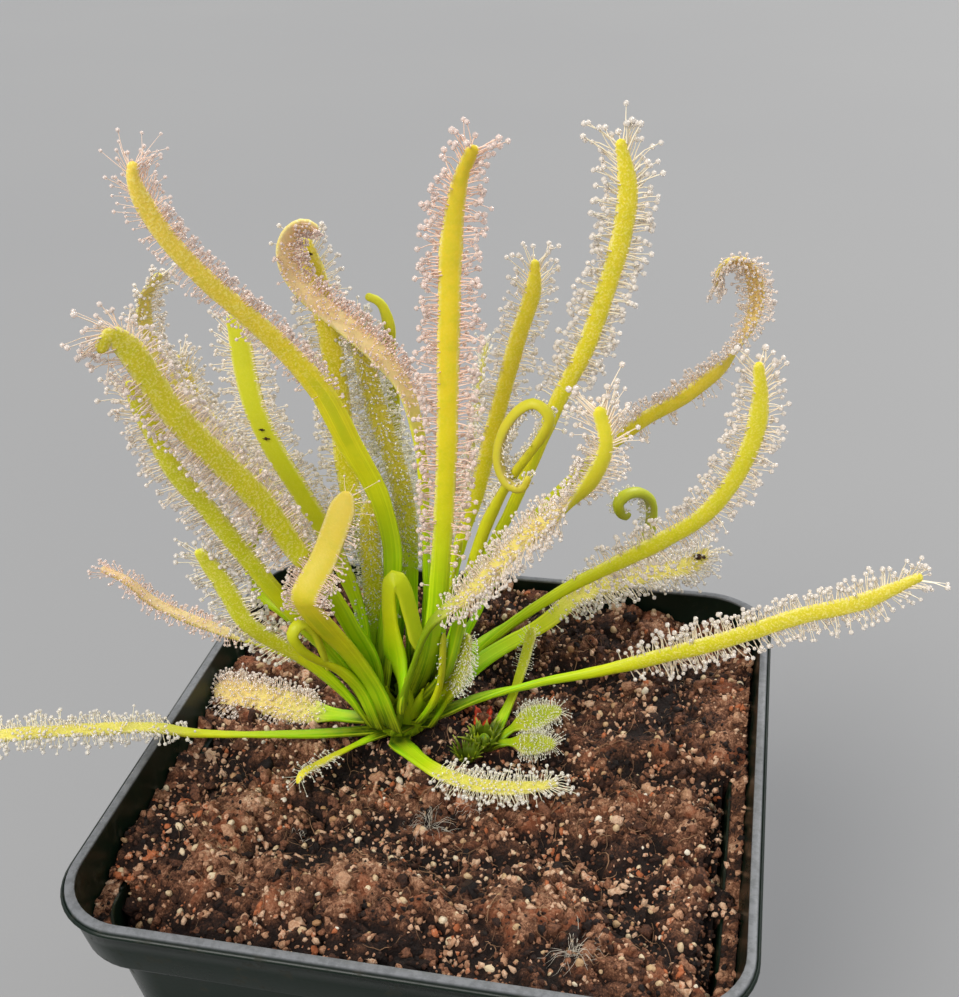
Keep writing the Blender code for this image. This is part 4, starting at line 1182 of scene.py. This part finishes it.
# One row per bank or hollow: x, y, how wide it spreads and how high it is, in millimetres.
BANKS = [(4, 40, 17, 4.2), (24, 42, 9, 0.6), (-25, 42, 16, 2.5), (39, 22, 12, 1.2), (-40, 6, 11, 0.6),
         (-38, -24, 9, 2.7), (-42, -40, 11, -7.5), (38, 42, 9, -2.2), (-10, -33, 14, 1.6),
         (18, -36, 12, 1.2), (37, -30, 10, 0.8), (16, -10, 9, 1.0), (-16, -9, 8, 0.9),
         (-5, -2, 6, -0.8), (7, 17, 8, -0.5), (24, 8, 7, 1.1), (-30, 20, 8, 1.0), (2, -20, 6, -1.0),
         (28, -22, 6, -1.2), (-24, -24, 6, -1.0), (30, 29, 5, -1.8)]

# Points along the leaves that lie low, each with the height of its underside.
LOW_LEAVES = []
for stem, leaves, highest in ((CROWN, LEAVES, 9 * MM), (PLANTLET, PLANTLET_LEAVES, 20 * MM)):
    for leaf in leaves:
        for middle, along, side, face in leaf_stations(leaf, stem, 1.6 * MM):
            if middle.z < SOIL_Z + highest:
                LOW_LEAVES.append((middle.x, middle.y, middle.z - HALF_LEAF))


def bank_height(x, y):
    """The soil's broad shape above its lowest level."""
    past = max(abs(x - HOLLOW_MIDDLE.x) - 15 * MM, abs(y - HOLLOW_MIDDLE.y) - 15 * MM, 0)
    height = 3.6 * ease(past / (17 * MM))
    for bank_x, bank_y, spread, rise in BANKS:
        away = Vector((x / MM - bank_x, y / MM - bank_y)).length_squared
        height += rise * exp(-away / spread ** 2)
    return height * MM


print("places under low leaves:", len(LOW_LEAVES))

# %% Height of the soil's surface
def clod_height(x, y):
    """Clods, crumbs and pits: rounded tops with sharp dark creases between them."""
    place = Vector((x, y, 0))
    broad = place / (5 * MM)
    wander = Vector((noise.noise(broad), noise.noise(broad + Vector((9, 0, 0))), 0))
    place = place + wander * 2.2 * MM
    creases = noise.voronoi(place / (5.0 * MM))[0]
    clods = (creases[1] - creases[0]) ** 0.6 * 2.3 - 1.2
    small = noise.voronoi(place / (1.9 * MM) + Vector((3, 5, 0)))[0]
    crumbs = (small[1] - small[0]) ** 0.7 * 1.1 - 0.5
    rough = noise.fractal(place / (11 * MM), 1.0, 2.0, 3, noise_basis="PERLIN_NEW") * 2.4
    return (clods + crumbs + rough + noise.noise(place / (0.7 * MM)) * 0.3) * MM


def soil_height(x, y):
    """Height of the soil's top at a place."""
    calm = ease(Vector((x - CROWN.place.x, y - CROWN.place.y)).length / (12 * MM))
    height = SOIL_Z + bank_height(x, y) + clod_height(x, y) * (0.35 + 0.65 * calm)
    edge = ease((max(abs(x), abs(y)) - SOIL_HALF + 3 * MM) / (3 * MM))
    height -= edge * (0.3 + 1.1 * noise.noise(Vector((x, y, 0)) / (6 * MM))) * MM
    groove = exp(-((x - GROOVE_PLACE) / GROOVE_WIDTH) ** 2) * ease((6 * MM - y) / (6 * MM))
    height -= groove * (3.2 + 2.0 * noise.noise(Vector((y, 0, 0)) / (4 * MM))) * MM
    height = min(height, POT_HEIGHT - SOIL_BELOW_RIM)
    for leaf_x, leaf_y, underside in LOW_LEAVES:
        away = max(abs(x - leaf_x), abs(y - leaf_y))
        if away < 6 * MM:
            slope = 0.9 * max(away - LOW_LEAF_REACH, 0)
            height = min(height, underside - LOW_LEAF_GAP + slope)
    return height


def soil_place(p, q):
    """A place on the soil from grid coordinates between -1 and 1, corners rounded."""
    x, y = p * SOIL_HALF, q * SOIL_HALF
    middle = SOIL_HALF - SOIL_CORNER
    dx, dy = (abs(x) - middle) / SOIL_CORNER, (abs(y) - middle) / SOIL_CORNER
    if dx > 0 and dy > 0:
        rx, ry = dx * sqrt(1 - dy * dy / 2), dy * sqrt(1 - dx * dx / 2)
        x = (middle + rx * SOIL_CORNER) * (1 if x > 0 else -1)
        y = (middle + ry * SOIL_CORNER) * (1 if y > 0 else -1)
    return x, y


def crowd(p):
    """Move grid lines towards the edges, where the soil needs more detail."""
    return p * (1 + EDGE_CROWDING * (1 - p * p))


def spread_over_ledge(x, y, z, p, q):
    """Push the soil's margin out over the pot's inner ledge where it is banked high enough."""
    side = max(abs(p), abs(q))
    share = ease((side - 0.93) / 0.07) * ease((z - LEDGE_TOP - 0.4 * MM) / (0.6 * MM))
    scale = 1 + share * 3.0 * MM / SOIL_HALF
    return x * scale, y * scale


print("soil half width in mm:", round(SOIL_HALF / MM, 2))

# %% Build the soil block
def soil_mesh():
    """A closed block: a rough top, sides that follow the pot and a flat foot."""
    bm = bmesh.new()
    top = bm.verts.layers.float.new("top")
    crest = bm.verts.layers.float.new("crest")
    rows, inner_edge = [], {}
    for i in range(SOIL_GRID + 1):
        row = []
        for j in range(SOIL_GRID + 1):
            p, q = crowd(2 * i / SOIL_GRID - 1), crowd(2 * j / SOIL_GRID - 1)
            x, y = soil_place(p, q)
            z = soil_height(x, y)
            vert = bm.verts.new((*spread_over_ledge(x, y, z, p, q), z))
            vert[top] = 1
            right, back = x - CROWN.place.x - 3 * MM, y - CROWN.place.y + 2 * MM
            # Painted shadow: a round patch just right of the crown, where the leaves shade the peat,
            # is pushed down in this value so the peat there is painted dark.
            crown_shadow = exp(-(right ** 2 + back ** 2) / (9 * MM) ** 2)
            # Height of the clods above the banks: the peat paints the high ones lighter and the low
            # creases darker, as painted light and shade.
            vert[crest] = (z - SOIL_Z - bank_height(x, y)) / (2 * MM) - 0.6 * crown_shadow
            inner_edge[vert] = (x, y)
            row.append(vert)
        rows.append(row)
    for i in range(SOIL_GRID):
        for j in range(SOIL_GRID):
            bm.faces.new((rows[i][j], rows[i + 1][j], rows[i + 1][j + 1], rows[i][j + 1]))
    edge = (rows[0][:-1] + [row[-1] for row in rows[:-1]] + list(reversed(rows[-1]))[:-1]
            + [row[0] for row in reversed(rows)][:-1])
    corners = [inner_edge[vert] for vert in edge]
    for z in (SOIL_Z - 2.5 * MM, SOIL_Z - 30 * MM, 2 * WALL + SOIL_GAP, WALL + SOIL_GAP):
        inset = WALL if z < 2 * WALL else 0
        share = (body_half(z) - WALL - SOIL_GAP - inset) / SOIL_HALF
        lower = [bm.verts.new((x * share, y * share, z)) for x, y in corners]
        join_loops(bm, edge, lower)
        edge = lower
    bm.faces.new(edge)
    return finish_mesh(bm, "soil_block")


soil_surface = soil_mesh()
soil = new_object("soil_block", soil_surface)
print("soil, triangles:", triangles(soil))

# %% Peat
def peat():
    tree = new_material("peat", Specular_IOR_Level=0.3)
    place = tree.object_place()
    clods = tree.noise(place, 170.0, 4.0, 0.6)
    crumbs = tree.noise(place, 1000.0, 4.0, 0.65, 0.8)
    fine = tree.noise(place, 4200.0, 3.0, 0.7)
    crest = tree.attribute("crest")
    across = tree.part_of(place, 0)
    # Painted light: the peat is made lighter towards the left of the pot, where the light falls more
    # strongly.
    left_light = tree.step(across, 12 * MM, -35 * MM)
    # Painted light and shade: raised clods are made lighter and low creases darker.
    light = 0.25 * clods + 0.45 * crumbs + 0.3 * fine + (crest - 0.05) * 0.14 + 0.03 * left_light
    color = tree.node("ShaderNodeValToRGB", {0: light}, stops=[
        (0.35, (0.006, 0.002, 0.001)), (0.44, (0.045, 0.016, 0.008)), (0.53, (0.18, 0.072, 0.035)),
        (0.62, (0.50, 0.25, 0.14)), (0.71, (0.80, 0.55, 0.36))])
    rust = tree.step(tree.noise(place, 190.0, 3.0), 0.52, 0.62)
    color = tree.mix(rust * 0.6 * tree.step(crest, -0.4, 0.4), color, (0.32, 0.085, 0.03))
    # Painted shade: the lowest creases and the patch beside the crown turn near black.
    color = tree.mix(tree.step(crest, -0.1, -0.75) * 0.8, color, (0.008, 0.003, 0.002))
    return finish_material(tree, color, 0.95 - 0.4 * fine, crumbs * 0.8 + fine * 0.5, 1.0, 0.9 * MM)


PEAT = peat()
soil_surface.materials.append(PEAT)
seat_piece(soil, "peat_soil", "soil")
print("material:", PEAT.name)

# %% [markdown]
# Some peat always stays on the pot's inner ledge and clings to the wall
# above it. It is a strip that runs right round the pot, thick in some places
# and almost nothing in others.

# %% Peat on the ledge
LEDGE_STEPS = 420
# One section of the strip: millimetres towards the wall, and share of its height.
LEDGE_SECTION = [(-1, 0), (-0.8, 0.6), (-0.3, 0.8), (0.3, 1.0), (0.9, 1.3), (1, 0), (0, -0.1)]


def ledge_mesh():
    """A closed rough band of peat that lies on the pot's inner ledge."""
    bm = bmesh.new()
    top = bm.verts.layers.float.new("top")
    crest = bm.verts.layers.float.new("crest")
    rows = []
    for k in range(LEDGE_STEPS):
        angle = 2 * pi * k / LEDGE_STEPS
        ahead = Vector((cos(angle), sin(angle)))
        middle = ahead * LEDGE_MIDDLE / (ahead.x ** 12 + ahead.y ** 12) ** (1 / 12)
        place = Vector((middle.x, middle.y, 0))
        tall = 0.9 + 2.6 * noise.noise(place / (8 * MM)) + 1.2 * noise.noise(place / (1.5 * MM))
        bare = exp(-((middle.x / MM + 41) / 9) ** 2 - ((middle.y / MM + 38) / 12) ** 2)
        tall = max(tall * (1 - bare), 0.12) * MM
        row = []
        for across, rise in LEDGE_SECTION:
            point = middle * (1 + across * 1.0 * MM / LEDGE_MIDDLE)
            rough = noise.noise(Vector((point.x, point.y, rise * MM)) / (0.8 * MM)) * 0.35 * MM
            level = LEDGE_TOP + 0.2 * MM + rise * tall + rough * (rise > 0)
            vert = bm.verts.new((point.x, point.y, level))
            vert[top] = 1 if rise > 0 else 0
            # On the ledge this value is random noise, so patches there are painted lighter and darker.
            vert[crest] = noise.noise(place / (2 * MM)) * 1.5
            row.append(vert)
        rows.append(row)
    for k, row in enumerate(rows):
        join_loops(bm, row, rows[(k + 1) % len(rows)])
    return finish_mesh(bm, "ledge_peat")


ledge_surface = ledge_mesh()
ledge = seat_piece(new_object("ledge_peat", ledge_surface, PEAT), "peat_soil")
print("peat on the ledge, triangles:", triangles(ledge))

# %% [markdown]
# ## Crumbs, grains and fibres
# What makes peat read as peat is what lies on it: clumps of fibre, broken
# crumbs, pale round grains and fine roots. A few lump shapes are made once.
# Geometry Nodes scatter them over the top, turn and size each one at random
# and give it a random tint, which its material turns into a colour.

# %% Lump shapes
def lump_mesh(name, seed, rough, detail):
    """A small closed lump about one unit across."""
    bm = bmesh.new()
    bmesh.ops.create_icosphere(bm, subdivisions=detail, radius=0.5)
    for vert in bm.verts:
        shift = Vector((seed * 3.7, seed * 1.9, 0))
        vert.co *= 1 + rough * noise.noise(vert.co * 3.0 + shift)
    bmesh.ops.scale(bm, vec=(1, 0.75 + 0.1 * (seed % 3), 0.6 + 0.15 * (seed % 2)), verts=bm.verts)
    return finish_mesh(bm, name)


def lump_collection(name, rough, detail):
    """Five lumps in a collection that isn't shown."""
    shelf = bpy.data.collections.new(name)
    for seed in range(5):
        shelf.objects.link(bpy.data.objects.new("lump", lump_mesh("lump", seed, rough, detail)))
    return shelf


CRUMB_SHAPES = lump_collection("crumb shapes", 1.1, 1)
CLUMP_SHAPES = lump_collection("clump shapes", 1.3, 2)
GRAIN_SHAPES = lump_collection("grain shapes", 0.3, 2)

# %% A tree that scatters lumps
def scatter_tree():
    tree, given, group = new_geometry_tree("scatter lumps", {
        "Shapes": "Collection", "Spacing": "Float", "Density": "Float", "Smallest": "Float",
        "Largest": "Float", "Small ones": "Float", "Seed": "Int", "Finish": "Material"})
    points = scatter(tree, given, "top")
    seed = given["Seed"]
    patch = tree.node("ShaderNodeTexNoise", {
        "Vector": tree.node("GeometryNodeInputPosition"), "Scale": 150.0, "Detail": 2.0})
    tint = random_number(tree, -0.38, 0.38, seed + 1) + 0.5 + (patch - 0.5) * 2.2
    points = store(tree, points, "tint", tint)
    shapes = tree.node("GeometryNodeCollectionInfo", {
        "Collection": given["Shapes"], "Separate Children": True, "Reset Children": True},
        transform_space="ORIGINAL")
    share = random_number(tree, 0.0, 1.0, seed + 2) ** given["Small ones"]
    size = given["Smallest"] + (given["Largest"] - given["Smallest"]) * share
    turned = tree.node("FunctionNodeEulerToRotation", {0: random_vector(tree, 3.14, seed + 3)})
    lumps = realize(tree, tree.node("GeometryNodeInstanceOnPoints", {
        "Points": points, "Instance": shapes, "Pick Instance": True, "Rotation": turned,
        "Scale": tree.xyz(size, size, size)}))
    close_tree(tree, set_material(tree, lumps, given["Finish"]))
    return group


SCATTER_TREE = scatter_tree()
print("tree:", SCATTER_TREE.name, "nodes:", len(SCATTER_TREE.nodes))

# %% Crumbs, clumps and grains
def crumb_finish(name, stops, roughness, grain_scale):
    """A material whose colour comes from each lump's random tint."""
    tree = new_material(name, Specular_IOR_Level=0.35)
    place = tree.object_place()
    fine = tree.noise(place, grain_scale, 4.0, 0.65)
    tint = tree.attribute("tint") + (fine - 0.5) * 0.6
    color = tree.node("ShaderNodeValToRGB", {0: tint}, stops=stops)
    return finish_material(tree, color, roughness + 0.2 * fine, fine, 0.9, 0.5 * MM)


CRUMB_FINISH = crumb_finish("peat_crumb", [
    (0.1, (0.008, 0.003, 0.002)), (0.36, (0.075, 0.027, 0.013)), (0.54, (0.28, 0.115, 0.058)),
    (0.72, (0.60, 0.33, 0.19)), (0.86, (0.80, 0.56, 0.38)), (1.0, (0.50, 0.15, 0.055))], 0.6, 2800.0)
GRAIN_FINISH = crumb_finish("pale_grain", [
    (0.0, (0.38, 0.20, 0.09)), (0.4, (0.58, 0.40, 0.22)), (0.75, (0.72, 0.58, 0.38)),
    (1.0, (0.84, 0.76, 0.62))], 0.4, 1500.0)
# Name, ground, shapes, least distance, count per square metre, smallest and largest size,
# how strongly small ones outnumber large ones, seed and finish. Sizes are in millimetres.
LUMPS = [("soil_crumbs", soil_surface, CRUMB_SHAPES, 0.53, 1200000.0, 0.35, 1.4, 1.8, 7, CRUMB_FINISH),
         ("ledge_crumbs", ledge_surface, CRUMB_SHAPES, 0.6, 1200000.0, 0.4, 1.3, 1.8, 8, CRUMB_FINISH),
         ("soil_clumps", soil_surface, CLUMP_SHAPES, 2.2, 50000.0, 1.2, 2.8, 2.0, 17, CRUMB_FINISH),
         ("soil_grains", soil_surface, GRAIN_SHAPES, 1.6, 60000.0, 0.6, 1.5, 1.9, 31, GRAIN_FINISH)]
for name, ground, shapes, spacing, density, smallest, largest, small_ones, seed, finish in LUMPS:
    piece = run_tree(name, ground, SCATTER_TREE, {
        "Shapes": shapes, "Spacing": spacing * MM, "Density": density, "Smallest": smallest * MM,
        "Largest": largest * MM, "Small ones": small_ones, "Seed": seed, "Finish": finish})
    seat_piece(piece, "peat_soil")
    print(name, "triangles:", triangles(piece))

# %% [markdown]
# Roots and fibres are thin threads that wander over the clods. Each is a
# short walk whose heading drifts, kept just above the soil's height, and it
# is lofted with a three-sided ring like a hair. A few pale bursts of fine
# mould threads stand where the peat is damp.

# %% Roots, fibres and mould threads
FIBRE_COUNT = 520
# x, y, how far the threads reach and how many there are.
MOULD_BURSTS = [(-2.5, -9.5, 4.5, 46), (22, -33, 4.5, 40), (3, -6, 3.0, 16), (-20, -16, 2.0, 8)]


def thread_rings(points, radius):
    """Three-sided rings along a thread that thins towards both ends."""
    rings = []
    last = len(points) - 1
    for i, point in enumerate(points):
        along = (points[min(i + 1, last)] - points[max(i - 1, 0)]).normalized()
        side = along.orthogonal().normalized()
        up = along.cross(side)
        width = radius * (0.35 + 0.65 * sin(pi * (i + 0.5) / (last + 1)))
        rings.append([point + (side * cos(angle) + up * sin(angle)) * width
                      for angle in (0, 2 * pi / 3, 4 * pi / 3)])
    return rings


def fibre_mesh(count, seed):
    """Threads that lie over the soil."""
    bm = bmesh.new()
    noise.seed_set(seed)
    for number in range(count):
        x, y = soil_place(1.8 * noise.random() - 0.9, 1.8 * noise.random() - 0.9)
        heading = 2 * pi * noise.random()
        step = (0.25 + 0.5 * noise.random()) * MM
        turn = (noise.random() - 0.5) * 0.8
        points = []
        for i in range(8):
            lift = (0.15 + 0.5 * noise.random()) * MM
            points.append(Vector((x, y, soil_height(x, y) + lift)))
            heading += turn + (noise.random() - 0.5) * 0.5
            x, y = x + step * cos(heading), y + step * sin(heading)
            if max(abs(x), abs(y)) > SOIL_HALF - 1 * MM:
                break
        if len(points) > 3:
            loft_rings(bm, thread_rings(points, (0.03 + 0.08 * noise.random() ** 3) * MM))
    return finish_mesh(bm, "soil_fibres")


def mould_mesh():
    """Bursts of fine pale threads."""
    bm = bmesh.new()
    noise.seed_set(91)
    for x, y, reach, count in MOULD_BURSTS:
        for number in range(count):
            heading = 2 * pi * noise.random()
            size = reach * (0.3 + 0.7 * noise.random())
            rise = 1.2 * noise.random()
            twist = 1.6 * noise.random() - 0.8
            start = Vector((x, y)) + Vector((noise.random() - 0.5, noise.random() - 0.5)) * 1.6
            points = []
            for i in range(6):
                t = i / 5
                px = (start.x + size * t * cos(heading + twist * t)) * MM
                py = (start.y + size * t * sin(heading + twist * t)) * MM
                lift = (0.1 + rise * sin(pi * t)) * MM
                points.append(Vector((px, py, soil_height(px, py) + lift)))
            loft_rings(bm, thread_rings(points, 0.028 * MM))
    return finish_mesh(bm, "mould_threads")


print("mould threads:", sum(count for x, y, reach, count in MOULD_BURSTS))

# %% Lay the threads on the soil
def thread_finish(name, low, high):
    tree = new_material(name, Specular_IOR_Level=0.3)
    color = tree.mix(tree.noise(tree.object_place(), 300.0, 2.0), low, high)
    return finish_material(tree, color, 0.6 + 0.2 * tree.noise(tree.object_place(), 900.0))


threads = fibre_mesh(FIBRE_COUNT, 5)
brown = thread_finish("fibre", (0.10, 0.04, 0.02), (0.45, 0.26, 0.14))
fibres = seat_piece(new_object("soil_fibres", threads, brown), "peat_soil")
threads = mould_mesh()
pale = thread_finish("mould", (0.55, 0.48, 0.36), (0.85, 0.80, 0.70))
mould = seat_piece(new_object("mould_threads", threads, pale), "peat_soil")
print("fibres and mould, triangles:", triangles(fibres, mould))

# %% [markdown]
# What a sundew is for: a few gnats are stuck to the leaves. Each is a dark
# lump for the body, a smaller one for the head and thin legs.

# %% Gnats
def gnat_mesh(places):
    """Gnats at given places: body, head and a few bent legs each."""
    bm = bmesh.new()
    for number, (place, size) in enumerate(places):
        for share, offset in ((1.0, 0), (0.55, 0.7)):
            lump = lump_mesh("lump", number, 0.9, 2)
            move = Matrix.Translation(place + Vector((offset, 0, 0.15)) * size)
            lump.transform(move @ Matrix.Scale(size * share, 4))
            bm.from_mesh(lump)
        for k in range(6):
            angle = 2 * pi * k / 6 + number
            out = Vector((cos(angle), sin(angle), 0.3)) * size
            toe = place + out + Vector((0, 0, -0.2)) * size
            loft_rings(bm, thread_rings([place, place + out * 0.6, toe], 0.05 * MM))
    return finish_mesh(bm, "gnats")


def on_leaf(name, share, off):
    """A point on a leaf at a share of its length, and some way off its upper face."""
    leaf = next(leaf for leaf in LEAVES if leaf.name == name)
    stations = leaf_stations(leaf, CROWN, STATION_SPACING)
    middle, along, side, face = stations[int(share * (len(stations) - 1))]
    return middle + face * off * MM


# Leaf, share of its length, millimetres off its upper face, and the gnat's size.
CATCH = [("leaf_low_right", 0.96, 0.8, 1.3), ("leaf_side_left", 0.72, -0.55, 0.6),
         ("leaf_side_left", 0.74, -0.55, 0.5), ("leaf_back_left", 0.97, -0.6, 0.6)]
bodies = gnat_mesh([(on_leaf(leaf, share, off), size * MM) for leaf, share, off, size in CATCH])
black = thread_finish("gnat", (0.012, 0.006, 0.004), (0.08, 0.03, 0.015))
gnats = seat_piece(new_object("gnats", bodies, black), "leaf_lime")
print("gnats, triangles:", triangles(gnats))

# %% [markdown]
# ## Floor, light and camera
# A pale floor and plain soft light, as in a small product studio. Two sun
# lamps with wide discs are used rather than area lamps, because a sun lights
# the whole floor evenly. The first stands high at the front left. The second
# stands behind and makes the thin leaves and the drops glow. The world fills
# the shadows.

# %% Stage
def floor_paint():
    tree = new_material("floor_paint", Roughness=0.7)
    patches = tree.noise(tree.object_place(), 3.0, 2.0)
    return finish_material(tree, tree.mix(patches, (0.245, 0.245, 0.25), (0.265, 0.265, 0.265)))


bm = bmesh.new()
bmesh.ops.create_grid(bm, x_segments=1, y_segments=1, size=4.0)
floor = new_object("floor", finish_mesh(bm, "floor"), floor_paint())
floor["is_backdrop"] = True


def add_sun(name, source, disc, strength, color):
    """A sun lamp that shines from a direction; its disc's angle makes it soft."""
    lamp = bpy.data.lights.new(name, "SUN")
    lamp.angle = radians(disc)
    lamp.energy = strength
    lamp.color = color
    thing = bpy.data.objects.new(name, lamp)
    thing.rotation_euler = Vector(source).to_track_quat("Z", "Y").to_euler()
    bpy.context.scene.collection.objects.link(thing)


add_sun("key_sun", (-0.4, -0.75, 0.85), 30, 2.3, (1.0, 0.97, 0.92))
add_sun("back_sun", (0.5, 0.75, 0.75), 25, 2.0, (1.0, 0.98, 0.95))

world = bpy.data.worlds.new("studio")
world.use_nodes = True
background = world.node_tree.nodes["Background"]
background.inputs["Color"].default_value = (0.93, 0.96, 1.0, 1)
background.inputs["Strength"].default_value = 0.7
bpy.context.scene.world = world
bpy.context.scene.view_settings.view_transform = "Standard"

# %% [markdown]
# The camera looks down at the rim from in front. Its direction is built from
# three turns: the compass heading, the tilt and a slight roll.

# %% Camera
CAMERA_PLACE = Vector((38.5 * MM, -147.6 * MM, 212.9 * MM))
CAMERA_HEADING = radians(12.92)
CAMERA_TILT = radians(29.16)
CAMERA_ROLL = radians(-1.97)
CAMERA_LENS = 49.2

camera_data = bpy.data.cameras.new("camera")
camera_data.sensor_fit = "HORIZONTAL"
camera_data.sensor_width = 36.0
camera_data.lens = CAMERA_LENS
camera_data.clip_start = 0.01
camera_data.clip_end = 20.0
camera = bpy.data.objects.new("camera", camera_data)
heading = Matrix.Rotation(CAMERA_HEADING, 4, "Z")
tilt = Matrix.Rotation(pi / 2 - CAMERA_TILT, 4, "X")
roll = Matrix.Rotation(CAMERA_ROLL, 4, "Z")
camera.matrix_world = Matrix.Translation(CAMERA_PLACE) @ heading @ tilt @ roll
bpy.context.scene.collection.objects.link(camera)
bpy.context.scene.camera = camera
print("camera at, in mm:", [round(x / MM, 1) for x in CAMERA_PLACE])

# %% [markdown]
# ## Compare sizes and finish
# How far the skin stands past the model's box is printed, low side then
# high side. The skin may stand only a little proud of the model's box.

# %% Sizes and finish
visual_box = [list(corner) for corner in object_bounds()]
past = [round((c - v) / MM, 1) for c, v in zip(CAD_BOX[0], visual_box[0])]
past += [round((v - c) / MM, 1) for c, v in zip(CAD_BOX[1], visual_box[1])]
print("past the model's box in mm, low then high:", past)
